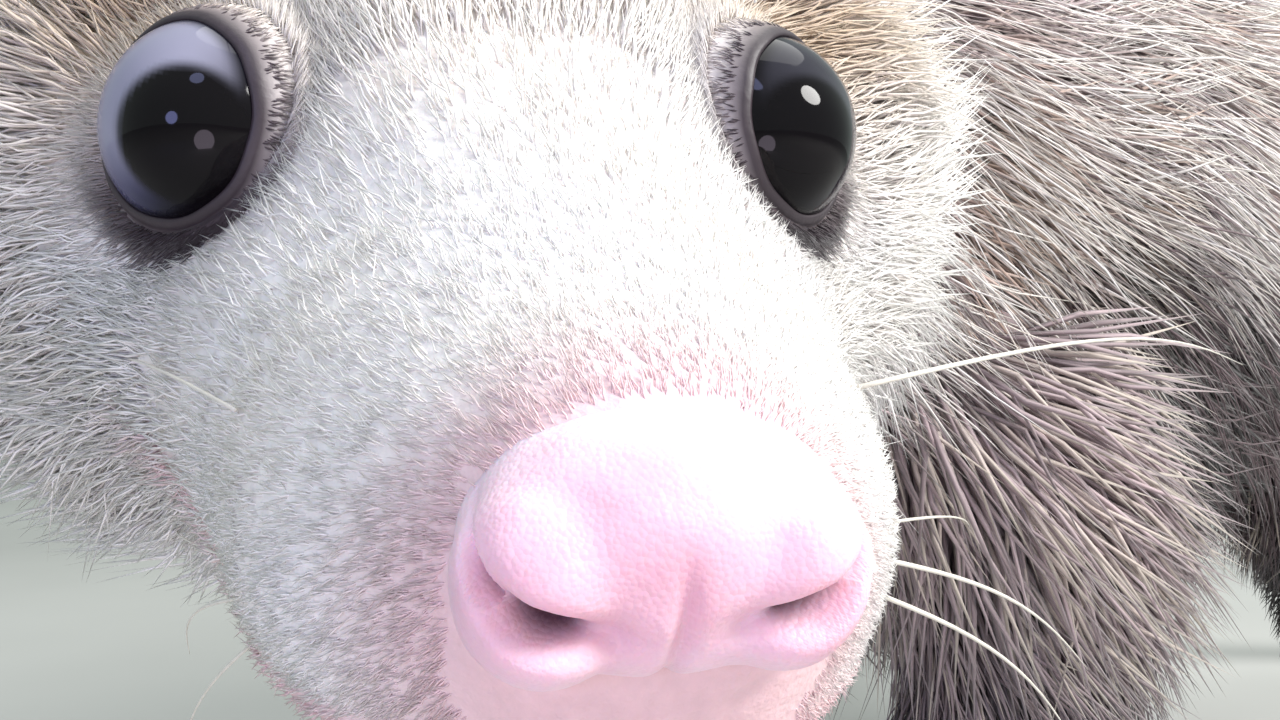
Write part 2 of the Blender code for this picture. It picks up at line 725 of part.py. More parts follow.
def trunk_locks(start, end, furthest, draw):
    """Staggered rows of locks on the neck or trunk. They lie backwards and, on the flanks, downwards."""
    locks = []
    place = start
    row = 0
    while place < end:
        size = lock_size(place)
        count = max(round(girth_at(place) / (LOCK_SPACING * size * 1.1)), 5)
        for k in range(count):
            angle = math.pi / 2 + 2 * math.pi * (k + 0.5 * (row % 2) + draw.uniform(-0.12, 0.12)) / count
            if in_limb(trunk_surface(place, angle, 0)):
                continue
            fall = -math.cos(angle) * LOCK_FALL
            locks.append(lock(
                trunk_surface,
                place + draw.uniform(-0.06, 0.06),
                angle,
                fall + draw.uniform(-0.16, 0.16),
                LOCK_LENGTH * size * draw.uniform(0.86, 1.14),
                LOCK_HALF_WIDTH * size * draw.uniform(0.9, 1.1),
                LOCK_LIFT * size * draw.uniform(0.88, 1.12),
                draw.uniform(-0.25, 0.25),
                furthest,
            ))
        nudge = 0.1
        rate = (trunk_surface(place + nudge, 0, 0) - trunk_surface(place, 0, 0)).length / nudge
        place += LOCK_SPACING * size / rate
        row += 1
    return locks


def limb_locks(draw):
    """Locks on the outer side of the shoulders and thighs, which hang over the tops of the legs."""
    locks = []
    for name, rows, side, step in limb_table():
        surface = limb_surface(rows, side, step)
        size = 0.62 if name.startswith("foreleg") else 0.78
        for row, place in enumerate((0.35, 1.1)):
            for k in range(3):
                angle = math.radians(-50 + 40 * (k + 0.5 * (row % 2))) + draw.uniform(-0.1, 0.1)
                locks.append(lock(
                    lambda p, a, h: surface(p, a, h + LEG_COAT),
                    place,
                    angle,
                    draw.uniform(0.1, 0.45),
                    LOCK_LENGTH * size * draw.uniform(0.86, 1.1),
                    LOCK_HALF_WIDTH * size * draw.uniform(0.9, 1.1),
                    LOCK_LIFT * 0.6 * draw.uniform(0.9, 1.1),
                    draw.uniform(-0.2, 0.2),
                ))
    return locks


def limb_table():
    for side, word in ((1, "left"), (-1, "right")):
        yield f"foreleg_{word}", FORELEG, side, STRIDE[f"foreleg_{word}"]
        yield f"hindleg_{word}", HIND_LEG, side, STRIDE[f"hindleg_{word}"]


def make_legs():
    for name, rows, side, step in limb_table():
        leg = loft(name, limb_rings(rows, LEG_PLACES, side, step, shift=-GAP))
        paint(leg, "black_fur")


def digit(root, heading, length, radius, claw):
    """One toe as one bent, tapering solid that runs from the foot to its pad and on into its claw."""
    forward = Vector((math.sin(heading), -math.cos(heading), 0.0))
    across = Vector((math.cos(heading), math.sin(heading), 0.0))
    up = Vector((0, 0, 1))
    stations = [
        (-0.35 * length, 4.6, 0.9 * radius),
        (0.4 * length, 4.2, 0.9 * radius),
        (0.8 * length, 0.68 * radius, radius),
        (length, 2.4, 0.75 * radius),
    ]
    if claw:
        stations.append((length + 0.3, 3.0, 0.95))
        stations.append((length + 0.55 * claw, 2.7, 0.7))
        stations.append((length + claw, 1.2, 0.25))
    rings = []
    for reach, height, half in stations:
        middle = root + forward * reach + up * height
        rings.append([
            middle + (across * math.cos(angle) + up * math.sin(angle)) * half for angle in angles(TOE_SIDES)
        ])
    return loft("toe", rings)


def foot_pieces(side, x, y, plan):
    """The pad of a foot and its toes, with the sole on the floor."""
    middle = Vector((side * x, y, PAD_MIDDLE))
    radii = (plan.half_width, plan.half_length, PAD_HALF_HEIGHT)
    pieces = [ball("pad", middle, radii, None, 13, 7)]
    for heading, length, radius, claw in plan.toes:
        turn = side * math.radians(heading)
        root = Vector((
            side * x + math.sin(turn) * plan.half_width * 0.72,
            y - math.cos(turn) * plan.half_length * 0.74,
            0.0,
        ))
        pieces.append(digit(root, turn, length, radius, claw))
    return pieces


def make_feet():
    for name, rows, side, step in limb_table():
        hind = name.startswith("hind")
        plan = HIND_FOOT if hind else FORE_FOOT
        x, y = rows[-1][:2]
        y += step
        pieces = foot_pieces(side, x, y - plan.pad_ahead, plan)
        if hind:
            heel = Vector((side * x, y - HEEL_AHEAD, HEEL_MIDDLE))
            pieces.append(ball("heel", heel, HEEL_SIZE, None, 10, 7))
        ankle = limb_rings(rows, [5.0, 5.4], side, step, shift=-GAP)
        wide, long = ANKLE_HALF_SIZES
        ankle.append([
            Vector((
                side * (x + math.cos(angle) * wide),
                y - plan.ankle_ahead + math.sin(angle) * long,
                ANKLE_HEIGHT,
            ))
            for angle in angles(LEG_SIDES)
        ])
        foot = loft(name.replace("leg", "foot"), ankle)
        join(foot, pieces)
        floor = box("floor", Vector((side * x, y, -20)), (80, 120, 20))
        join(foot, [floor], "DIFFERENCE")
        keep_largest(foot)
        paint(foot, "foot_skin")


def box(name, centre, halves):
    shape = bmesh.new()
    bmesh.ops.create_cube(shape, size=2.0)
    for vertex in shape.verts:
        vertex.co = centre + Vector(a * b for a, b in zip(vertex.co, halves))
    return solid_from(shape, name)


def make_neck():
    neck = loft("neck", spine_rings(NECK_PLACES, SPINE_SIDES, start=GAP))
    join(neck, trunk_locks(NECK_PLACES[1], NECK_END - 0.2, NECK_END + 0.6, random.Random(LOCK_SEED)))
    join(neck, [
        clearance(spine_rings(HEAD_PLACES, SPINE_SIDES, end=GAP / 2, swell=GAP)),
        clearance(spine_rings(TORSO_PLACES, SPINE_SIDES, start=GAP / 2, swell=GAP)),
    ], "DIFFERENCE")
    keep_largest(neck)
    paint(neck, "grey_fur")


def make_torso():
    torso = loft("torso", spine_rings(TORSO_PLACES, SPINE_SIDES, start=GAP))
    pieces = []
    rooms = []
    for _, rows, side, step in limb_table():
        pieces.append(loft("stump", limb_rings(rows, [0, 0.5, 1.0, 1.6, LEG_START], side, step)))
        rooms.append(clearance(limb_rings(rows, LEG_PLACES, side, step, shift=-GAP / 2, swell=GAP)))
    draw = random.Random(LOCK_SEED + 1)
    pieces += trunk_locks(NECK_END + 0.75, TORSO_END - 0.25, TORSO_END + 1, draw)
    pieces += limb_locks(draw)
    join(torso, pieces)
    tail_start = [TORSO_END, TORSO_END + 1, TORSO_END + 2]
    rooms.append(clearance(spine_rings(tail_start, SPINE_SIDES, start=GAP / 2, swell=GAP)))
    rooms.append(clearance(spine_rings(NECK_PLACES, SPINE_SIDES, end=GAP / 2, swell=GAP)))
    join(torso, rooms, "DIFFERENCE")
    keep_largest(torso)
    paint(torso, "grey_fur")


def make_tail():
    start = TORSO_END
    for name, end in TAIL_PARTS:
        count = 3 + round((end - start) * 2)
        part = loft(name, spine_rings(places_between(start, end, count), TAIL_SIDES, start=GAP))
        paint(part, "tail_skin")
        start = end


def settle():
    """Moves every node so that the origin is under the middle of the whole, on the floor."""
    nodes = [item for item in bpy.data.objects if item.type == "MESH"]
    spans = []
    for axis in (0, 1):
        places = [vertex.co[axis] for item in nodes for vertex in item.data.vertices]
        spans.append((min(places) + max(places)) / 2)
    for item in nodes:
        item.location = (-spans[0], -spans[1], 0.0)


def main():
    clear_scene()
    make_head()
    make_eyes()
    make_ears()
    make_neck()
    make_torso()
    make_legs()
    make_feet()
    make_tail()
    settle()


main()
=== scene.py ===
import math

import bpy
import numpy as np
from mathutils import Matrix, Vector
from mathutils.kdtree import KDTree

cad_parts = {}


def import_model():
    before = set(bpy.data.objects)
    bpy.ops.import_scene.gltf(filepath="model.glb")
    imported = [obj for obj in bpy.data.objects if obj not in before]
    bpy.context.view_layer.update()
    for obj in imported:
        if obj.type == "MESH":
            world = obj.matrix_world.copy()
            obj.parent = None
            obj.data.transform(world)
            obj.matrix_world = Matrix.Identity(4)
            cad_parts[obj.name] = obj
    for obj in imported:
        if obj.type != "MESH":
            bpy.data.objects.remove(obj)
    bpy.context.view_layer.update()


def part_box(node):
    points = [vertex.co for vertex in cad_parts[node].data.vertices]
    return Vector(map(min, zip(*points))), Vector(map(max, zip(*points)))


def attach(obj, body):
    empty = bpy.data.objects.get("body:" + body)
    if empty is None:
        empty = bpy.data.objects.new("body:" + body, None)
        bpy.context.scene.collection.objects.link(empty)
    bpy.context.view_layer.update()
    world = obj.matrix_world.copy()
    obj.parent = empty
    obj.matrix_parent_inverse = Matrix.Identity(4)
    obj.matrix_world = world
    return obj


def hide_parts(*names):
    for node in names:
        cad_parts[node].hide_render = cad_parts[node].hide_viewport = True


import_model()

# The solids are built in millimetres, with the head towards -Y and the animal's left towards +X.
# Every shape below is worked out in those millimetres too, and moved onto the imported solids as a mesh.
MM = 0.001

HEAD_TURN = math.radians(51.4)
HEAD_DIP = math.radians(18.0)
HEAD_LEAN = math.radians(1.8)
EYE_MIDDLE = np.array((63.3, -228.7, 142.3))

# The camera stands just off the snout, level, and looks along the face.
CAMERA_PLACE = np.array((130.9, -302.0, 125.0))
CAMERA_LOOK = Vector((-0.602, 0.799, 0.0))
CAMERA_LENS = 39.4
SENSOR_WIDTH = 36.0

EYE_PLACE = (-1.4, 19.4, -1.5)
EYE_OUT = math.radians(44)
EYE_UP = math.radians(18)
EYE_RADIUS = 7.7
EYE_OPENING = 6.65
OPENING_EDGE = math.asin(EYE_OPENING / EYE_RADIUS)
# Where the lid lies on the ball: how far past the opening's edge, in radians, and how far over the ball.
LID_SHAPE = (
    (0.0, 0.12), (0.02, 0.3), (0.08, 0.46), (0.2, 0.58), (0.4, 0.7), (0.7, 0.8), (1.0, 0.7),
    (1.0, -0.6), (0.5, -0.4), (0.15, -0.2), (0.01, -0.08),
)
# The dark round of iris and pupil looks further forward than the lids open, so its pale rim shows at
# the outer corner. That pale rim is partly the ball's own paler edge and partly a painted reflection.
GAZE_OUT = math.radians(15)
GAZE_UP = math.radians(7)
GAZE_RADIUS = math.radians(35)
# How much of that rim is painted over in shade, at the outer and at the inner corner, on the right eye (-1)
# and on the left one.
RIM_PAINTED_SHADE = {-1: (0.0, 0.95), 1: (0.9, 0.97)}

NOSE_PLACE = (46.2, 0.0, -11.0)
NOSE_SIZE = (6.0, 8.6, 6.0)
WING_PLACE = (48.2, 5.2, -11.8)
WING_SIZE = (4.4, 3.8, 4.6)
NOSTRIL_PLACE = (52.4, 6.4, -12.2)

MOUTH_FRONT = 48.0
MOUTH_BACK = 3.0
MOUTH_HEIGHT = -22.5
MOUTH_SAG = 3.6

EAR_HEIGHT = 47.0
EAR_HALF_WIDTH = 24.5
EAR_ROOT = 0.5
EAR_WIDEST = 0.56
EAR_WALL = 1.1
EAR_CUP = 9.0
EAR_SUNK = 0.16
EAR_LEAN_OUT = math.radians(24)
EAR_LEAN_BACK = math.radians(14)
EAR_FACE_OUT = math.radians(34)
EAR_PLACE = (-42.0, 25.0, 20.0)
# Folds inside an ear: place across it, reach and rise.
EAR_FOLDS = ((0.38, 0.13, 3.2), (-0.3, 0.16, 2.4), (0.05, 0.1, 1.2))

# Head sections at the skin: forward, height of the widest place, half width, top, bottom, and the
# squareness of the upper and lower halves, where 2 is an ellipse.
HEAD_SECTIONS = (
    (48.8, -13.0, 5.2, -8.0, -18.5, 2.0, 2.0),
    (47.6, -13.5, 7.4, -6.0, -21.5, 2.1, 2.1),
    (44.5, -15.0, 10.2, -4.0, -25.5, 2.0, 2.2),
    (38.0, -17.0, 14.0, -2.6, -29.0, 1.85, 2.3),
    (28.5, -18.0, 17.6, -0.6, -32.0, 1.8, 2.3),
    (18.0, -17.5, 20.2, 2.4, -34.0, 1.8, 2.3),
    (8.0, -16.0, 23.2, 6.2, -35.5, 1.8, 2.2),
    (0.0, -13.5, 26.8, 10.2, -38.5, 1.85, 2.3),
    (-10.0, -12.0, 32.8, 14.2, -41.5, 1.85, 2.4),
    (-22.0, -11.0, 39.0, 17.6, -42.5, 1.9, 2.4),
    (-36.0, -9.0, 38.5, 19.6, -41.5, 1.95, 2.3),
    (-52.0, -6.0, 35.0, 20.0, -38.5, 2.0, 2.1),
)

# Neck and trunk: x, y, z of the middle, turn and dip in degrees, half width, rise and drop.
TRUNK_SECTIONS = (
    (10.5, -171.0, 151.5, 36.0, 8.0, 36.0, 37.0, 42.0),
    (1.5, -145.0, 148.5, 8.0, 2.0, 41.0, 45.5, 48.5),
    (0.0, -112.0, 147.0, 0.0, 0.0, 46.5, 54.0, 54.0),
    (0.0, -75.0, 148.5, 0.0, 0.0, 51.5, 60.0, 60.0),
    (0.0, -30.0, 150.0, 0.0, 0.0, 55.5, 64.5, 63.5),
    (0.0, 15.0, 151.0, 0.0, 0.0, 58.5, 67.0, 64.5),
    (0.0, 60.0, 152.0, 0.0, 0.0, 60.0, 66.5, 63.0),
    (0.0, 100.0, 151.5, 0.0, 0.0, 57.0, 62.0, 59.0),
    (0.0, 135.0, 149.0, 0.0, 0.0, 48.0, 52.5, 49.0),
    (0.0, 162.0, 146.0, 0.0, -4.0, 35.0, 39.0, 35.0),
    (0.5, 183.0, 142.0, 0.0, -12.0, 22.5, 25.0, 22.0),
)

# The tail's middle line and half width.
TAIL_POINTS = (
    (1.0, 201.0, 136.0, 16.0),
    (4.0, 224.0, 123.0, 13.4),
    (11.0, 250.0, 104.0, 11.8),
    (22.0, 280.0, 80.0, 10.6),
    (36.0, 310.0, 57.0, 9.6),
    (52.0, 342.0, 38.0, 8.6),
    (66.0, 376.0, 26.0, 7.5),
    (73.0, 412.0, 21.0, 6.4),
    (69.0, 446.0, 22.0, 5.3),
    (56.0, 474.0, 28.0, 4.2),
    (40.0, 492.0, 38.0, 2.6),
)

# Places along the spine, counted in sections from the nose.
NECK_START = 11.0
TAIL_START = 23.0
FUR_END = 26.2
TAIL_TIP = 33.0

# How finely the skin is drawn: points round the head, trunk, tail and limbs, and the grain of what is melted.
HEAD_SIDES = 168
TRUNK_SIDES = 72
TAIL_RINGS = 330
TAIL_SIDES = 40
LIMB_SIDES = 40
FOOT_GRAIN = 1.0
NOSE_GRAIN = 0.17
TAIL_PLACES = np.linspace(TAIL_START - 0.6, TAIL_TIP, TAIL_RINGS)
SCALE_SWELL = 1.03

# Left limbs: a middle line with half widths across and along the body. The right ones are mirrored.
FORELEG = np.array((
    (38.0, -103.0, 132.0, 17.0, 26.0),
    (46.0, -101.0, 108.0, 16.0, 22.0),
    (50.0, -98.0, 86.0, 14.0, 17.5),
    (49.0, -105.0, 60.0, 11.5, 13.5),
    (47.0, -113.0, 34.0, 9.0, 10.5),
    (47.0, -117.0, 19.0, 8.5, 9.5),
))
HIND_LEG = np.array((
    (42.0, 96.0, 132.0, 24.0, 44.0),
    (52.0, 90.0, 108.0, 21.0, 35.0),
    (57.0, 84.0, 86.0, 17.0, 25.0),
    (57.0, 96.0, 60.0, 13.0, 16.0),
    (55.0, 112.0, 36.0, 9.5, 11.0),
    (54.0, 118.0, 20.0, 9.0, 10.0),
))
LIMB_END = 5.3
STRIDE = {"foreleg_left": -6.0, "foreleg_right": 9.0, "hindleg_left": 5.0, "hindleg_right": -9.0}

# Each toe's heading outwards from straight ahead, in degrees, then its length, half width and claw.
FORE_TOES = (
    (-50, 12.6, 2.6, 5.2),
    (-24, 15.6, 2.7, 5.8),
    (3, 16.8, 2.8, 6.0),
    (29, 15.8, 2.7, 5.8),
    (57, 12.4, 2.5, 5.2),
)
HIND_TOES = (
    (-27, 15.8, 2.8, 6.0),
    (-5, 18.0, 2.9, 6.4),
    (18, 17.8, 2.8, 6.4),
    (43, 14.8, 2.6, 5.8),
    (-97, 14.6, 3.3, 0),
)

# Colours of hair and skin, as linear light.
WHITE = (0.86, 0.83, 0.825)
CREAM = (0.78, 0.69, 0.58)
TAN = (0.50, 0.35, 0.22)
ASH = (0.38, 0.30, 0.315)
BROWN = (0.135, 0.092, 0.10)
SOOT = (0.022, 0.018, 0.018)
PINK = (0.74, 0.46, 0.50)
EAR_PINK = (0.70, 0.52, 0.50)
TAIL_PINK = (0.62, 0.47, 0.43)
BRISTLE = (0.5, 0.42, 0.36)
MAUVE = (0.11, 0.065, 0.08)
SLATE = (0.03, 0.026, 0.03)
EYE_DARK = (0.004, 0.003, 0.004)
# The grey-lilac rim is partly the eyeball's paler edge and partly a painted reflection; the blue is a painted
# reflection on its lower half.
EYE_RIM_AND_REFLECTION = (0.25, 0.245, 0.32)
EYE_BLUE_REFLECTION = (0.07, 0.07, 0.16)
NOSE_PINK = (0.80, 0.53, 0.63)
NOSE_RED = (0.70, 0.36, 0.44)
LID_DARK = (0.03, 0.019, 0.026)
# Painted shade in the hollows of the nostrils.
NOSTRIL_SHADE = (0.07, 0.02, 0.035)

# How deep a tuft's root is sunk, how deep its blade is for its half width, and its width on the unwrap.
ROOT_DEPTH = 0.6
BLADE_DEPTH = 0.8
TUFT_PATCH = 0.003
# No tuft hangs lower than this over the floor.
LEAST_HEIGHT = 0.05

# Lengths and widths of the fur where it is longest.
WOOL_LENGTH = 27.0
WOOL_WIDTH = 1.15
GUARD_LENGTH = 50.0
GUARD_WIDTH = 0.7
CLUMP_REACH = 3.0
LIMB_FUR_LENGTH = 31.0
TAIL_FUR_LENGTH = 24.0
EAR_FUR_LENGTH = 11.0
LID_FUR_WIDTH = 0.19

# Tufts of each coat, and on the head the stretch of the spine that it covers.
FACE_COATS = (
    ("snout_coat", (0.6, 6.0), 16000), ("brow_coat", (6.0, 8.2), 14500), ("cheek_coat", (8.2, 11.6), 18500),
)
UNDER_COATS = (("under_coat_front", 14000), ("under_coat_back", 13000))
GUARD_COATS = (("guard_coat_front", 10800), ("guard_coat_back", 10800))
LIMB_TUFTS = 6000
FOOT_TUFTS = 1300
EAR_TUFTS = 900
LID_TUFTS = 2300
TAIL_TUFTS = 3600
TAIL_BRISTLES = 1500


def unit(rows):
    return rows / np.maximum(np.linalg.norm(rows, axis=-1, keepdims=True), 1e-9)


def dot(a, b):
    return np.sum(a * b, axis=-1)


def smooth_step(low, high, value):
    share = np.clip((value - low) / (high - low), 0, 1)
    return share * share * (3 - 2 * share)


def axes_of(turn, dip, lean):
    """Forward, left and up for what turns left, dips its front and leans right by these angles."""
    turn, dip, lean = np.broadcast_arrays(turn, dip, lean)
    flat = np.zeros_like(turn, dtype=float)
    forward = np.stack((np.sin(turn) * np.cos(dip), -np.cos(turn) * np.cos(dip), -np.sin(dip)), -1)
    level = np.stack((np.cos(turn), np.sin(turn), flat), -1)
    upright = np.cross(forward, level)
    left = level * np.cos(lean)[..., None] + upright * np.sin(lean)[..., None]
    return forward, left, np.cross(forward, left)


HEAD_AXES = np.stack(axes_of(HEAD_TURN, HEAD_DIP, HEAD_LEAN))


def head_point(local):
    return EYE_MIDDLE + np.asarray(local, dtype=float) @ HEAD_AXES


def head_local(points):
    return (points - EYE_MIDDLE) @ HEAD_AXES.T


def eye_centre(side):
    return head_point((EYE_PLACE[0], side * EYE_PLACE[1], EYE_PLACE[2]))


def turned_out(side, out, up):
    """A direction that leaves straight ahead by an angle towards one side and an angle upwards."""
    level = math.cos(up)
    local = (math.cos(out) * level, side * math.sin(out) * level, math.sin(up))
    return np.array(local) @ HEAD_AXES


def eye_axis(side):
    return turned_out(side, EYE_OUT, EYE_UP)


def gaze_axis(side):
    return turned_out(side, GAZE_OUT, GAZE_UP)


def round_eye(points, side):
    """How far points lie from the line through an eye's opening, and how high along it."""
    away = points - eye_centre(side)
    height = away @ eye_axis(side)
    return np.linalg.norm(away - height[:, None] * eye_axis(side), axis=-1), height


def box_middle(node):
    low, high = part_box(node)
    return (np.array(low) + np.array(high)) / 2


SHIFT = box_middle("eye_right") - eye_centre(-1) * MM


def world(points):
    return np.asarray(points) * MM + SHIFT


def smooth_rows(rows, place):
    """The rows at places between rows of numbers, on a smooth curve through them all."""
    index = np.clip(np.floor(place).astype(int), 0, len(rows) - 2)
    share = (place - index)[..., None]
    before, here = rows[np.maximum(index - 1, 0)], rows[index]
    after, beyond = rows[index + 1], rows[np.minimum(index + 2, len(rows) - 1)]
    slope_in = (after - before) / 2
    slope_out = (beyond - here) / 2
    return (
        here
        + share * slope_in
        + share**2 * (3 * (after - here) - 2 * slope_in - slope_out)
        + share**3 * (2 * (here - after) + slope_in + slope_out)
    )


def drift(points, reach, seed):
    """A smooth random number from about -1 to 1 at each point, which changes over a reach."""
    draw = np.random.default_rng(seed)
    courses = draw.normal(0, 3.6 / reach, (7, 3))
    starts = draw.uniform(0, 2 * math.pi, 7)
    return np.sin(points @ courses.T + starts).sum(axis=-1) / 2.6


def spine_rows():
    """All sections, nose to tail: middle, turn, dip, lean, half width, rise, drop, squareness twice."""
    rows = []
    for forward, height, half_width, top, bottom, upper, lower in HEAD_SECTIONS:
        middle = head_point((forward, 0, height))
        facing = (HEAD_TURN, HEAD_DIP, HEAD_LEAN)
        rows.append((*middle, *facing, half_width, top - height, height - bottom, upper, lower))
    for x, y, z, turn, dip, half_width, rise, drop in TRUNK_SECTIONS:
        rows.append((x, y, z, math.radians(turn), math.radians(dip), 0, half_width, rise, drop, 2.1, 2.1))
    for index, (x, y, z, radius) in enumerate(TAIL_POINTS):
        ahead = np.array(TAIL_POINTS[max(index - 1, 0)][:3])
        behind = np.array(TAIL_POINTS[min(index + 1, len(TAIL_POINTS) - 1)][:3])
        forward = unit(ahead - behind)
        turn = math.atan2(forward[0], -forward[1])
        rows.append((x, y, z, turn, -math.asin(forward[2]), 0, radius, radius, radius, 2.0, 2.0))
    return np.array(rows, dtype=float)


SPINE = spine_rows()


def mouth_height(forward):
    along = np.clip((forward - MOUTH_BACK) / (MOUTH_FRONT - MOUTH_BACK), 0, 1)
    return MOUTH_HEIGHT - MOUTH_SAG * np.sin(math.pi * along)


# Swellings and hollows of the face on each side: place, reach and height.
FACE_FORMS = (
    ((0, 18, 11), 8, 1.4),
    ((4, 23, 0), 9, -2.6),
    ((16, 14, 0), 9, -1.6),
    ((34, 14, -18), 9, 1.4),
    ((-8, 32, -12), 14, 1.8),
)


def carve_face(points, middles):
    """Gives the plain head its brows, cheeks, whisker pads, mouth line, lower jaw and hollows."""
    local = head_local(points)
    forward, left, up = local.T
    side = np.where(left >= 0, 1.0, -1.0)
    middle_height = dot(middles - EYE_MIDDLE, HEAD_AXES[2])
    outward = unit(np.stack((np.full_like(left, 0.25), left, up - middle_height), -1))
    mirrored = np.stack((forward, side * left, up), -1)
    push = np.zeros_like(forward)
    for place, reach, amount in FACE_FORMS:
        push += amount * np.exp(-(np.linalg.norm(mirrored - place, axis=-1) / reach) ** 2)
    push -= 0.9 * np.exp(-((left / 4.5) ** 2) - ((forward + 4) / 16) ** 2) * (up > 0)
    below = mouth_height(forward) - up
    jaw = np.clip((forward + 30) / 36, 0, 1)
    under = np.clip(below / 3.0, 0, 1)
    left = left - side * under * 1.8 * jaw * np.minimum(np.abs(left) / 4, 1)
    slit = smooth_step(MOUTH_BACK - 2, MOUTH_BACK + 6, forward)
    push -= 2.0 * slit * np.exp(-((below / 0.55) ** 2))
    push += 0.5 * slit * np.exp(-(((np.abs(below) - 1.5) / 1.0) ** 2))
    forward = forward - under * 3.0 * np.clip((forward - 36) / 10, 0, 1)
    return head_point(np.stack((forward, left, up), -1) + outward * push[:, None])


def seat_eyes(points):
    """Draws the skin under each eyeball inside its opening and lays it on the ball round the rim."""
    for side in (-1, 1):
        away = points - eye_centre(side)
        reach = np.linalg.norm(away, axis=-1)
        width, height = round_eye(points, side)
        near = (height > -3) & (width < 16) & (reach < 26)
        inside = near & (width < EYE_OPENING)
        rim = EYE_RADIUS + 0.45
        hug = 1 - smooth_step(EYE_OPENING + 0.8, EYE_OPENING + 5.0, width)
        wanted = np.where(inside, EYE_RADIUS - 1.2, np.maximum(reach, rim) * (1 - hug) + rim * hug)
        wanted = np.where(near & ~inside, np.maximum(wanted, rim), wanted)
        moved = eye_centre(side) + away / reach[:, None] * wanted[:, None]
        points = np.where(near[:, None], moved, points)
    return points


def spine_surface(place, angle, height=0.0):
    """Points on the skin of the head, neck, trunk and tail, or at a height above it.

    Place counts sections from the nose. Angle is 0 on the left side and a quarter turn on top.
    """
    place, angle, height = np.broadcast_arrays(place, angle, height)
    rows = smooth_rows(SPINE, place)
    middle = rows[:, 0:3]
    _, left, up = axes_of(rows[:, 3], rows[:, 4], rows[:, 5])
    across, along = np.cos(angle), np.sin(angle)
    upper = along >= 0
    power = 2 / np.where(upper, rows[:, 9], rows[:, 10])
    wide = np.sign(across) * np.abs(across) ** power * (rows[:, 6] + height)
    tall = np.sign(along) * np.abs(along) ** power * (np.where(upper, rows[:, 7], rows[:, 8]) + height)
    points = middle + left * wide[:, None] + up * tall[:, None]
    of_head = place < 12
    if of_head.any():
        points[of_head] = carve_face(points[of_head], middle[of_head])
    return points


def limb_surface(rows, side, step):
    """The skin of one limb, by place down it and angle round it from its outer side."""
    def points_at(place, angle, height=0.0):
        place, angle, height = np.broadcast_arrays(place, angle, height)
        found = smooth_rows(rows, place)
        stretch = np.clip((rows[0, 2] - found[:, 2]) / rows[0, 2], 0, 1)
        return np.stack((
            side * (found[:, 0] + np.cos(angle) * (found[:, 3] + height)),
            found[:, 1] + step * stretch + np.sin(angle) * (found[:, 4] + height),
            found[:, 2],
        ), -1)
    return points_at


def limbs():
    for side, word in ((1, "left"), (-1, "right")):
        yield f"foreleg_{word}", FORELEG, side, STRIDE[f"foreleg_{word}"]
        yield f"hindleg_{word}", HIND_LEG, side, STRIDE[f"hindleg_{word}"]


# Meshes from arrays

def mesh_piece(name, points, quads, triangles):
    """A mesh object from points in millimetres and the corners of its faces."""
    corners = np.concatenate((quads.ravel(), triangles.ravel()))
    totals = np.concatenate((np.full(len(quads), 4), np.full(len(triangles), 3)))
    starts = np.cumsum(totals) - totals
    mesh = bpy.data.meshes.new(name)
    mesh.vertices.add(len(points))
    mesh.vertices.foreach_set("co", world(points).astype(np.float32).ravel())
    mesh.loops.add(len(corners))
    mesh.loops.foreach_set("vertex_index", corners.astype(np.int32))
    mesh.polygons.add(len(totals))
    mesh.polygons.foreach_set("loop_start", starts.astype(np.int32))
    mesh.update(calc_edges=True)
    mesh.shade_smooth()
    piece = bpy.data.objects.new(name, mesh)
    bpy.context.scene.collection.objects.link(piece)
    return piece


def colour_in(piece, colours):
    """Gives each point of a piece its colour, in linear light."""
    layer = piece.data.color_attributes.new("tone", "FLOAT_COLOR", "POINT")
    flat = np.ones((len(colours), 4), dtype=np.float32)
    flat[:, :3] = colours
    layer.data.foreach_set("color", flat.ravel())


def lay_out(piece, places):
    """Gives each point of a coat its place on an unwrap."""
    layer = piece.data.uv_layers.new(name="OFBake")
    corners = np.empty(len(piece.data.loops), dtype=np.int32)
    piece.data.loops.foreach_get("vertex_index", corners)
    layer.data.foreach_set("uv", places[corners].astype(np.float32).ravel())


def tube_faces(rings, sides, start=0):
    """Quads between neighbouring rings of points."""
    ring, k = np.meshgrid(np.arange(rings - 1), np.arange(sides), indexing="ij")
    here = start + ring * sides + k
    beside = start + ring * sides + (k + 1) % sides
    return np.stack((here, beside, beside + sides, here + sides), -1).reshape(-1, 4)


def tube(name, rings, flip=False):
    """A closed solid through rings of points, with a point in the middle of each end."""
    count, sides, _ = rings.shape
    points = np.concatenate((rings.reshape(-1, 3), [rings[0].mean(0), rings[-1].mean(0)]))
    quads = tube_faces(count, sides)
    k = np.arange(sides)
    first, last = count * sides, count * sides + 1
    start_cap = np.stack((np.full(sides, first), (k + 1) % sides, k), -1)
    end = (count - 1) * sides
    end_cap = np.stack((np.full(sides, last), end + k, end + (k + 1) % sides), -1)
    triangles = np.concatenate((start_cap, end_cap))
    if flip:
        quads, triangles = quads[:, ::-1], triangles[:, ::-1]
    return mesh_piece(name, points, quads, triangles)


def surface_rings(surface, places, turns):
    grid_place, grid_turn = np.meshgrid(places, turns, indexing="ij")
    return surface(grid_place.ravel(), grid_turn.ravel()).reshape(len(places), len(turns), 3)


def around(count):
    return 2 * math.pi * np.arange(count) / count


# Blender's tools, used as by hand

def select_only(piece):
    bpy.ops.object.select_all(action="DESELECT")
    piece.select_set(True)
    bpy.context.view_layer.objects.active = piece


def apply_modifier(piece, kind, **settings):
    modifier = piece.modifiers.new(kind.lower(), kind)
    for key, value in settings.items():
        setattr(modifier, key, value)
    select_only(piece)
    bpy.ops.object.modifier_apply(modifier=modifier.name)


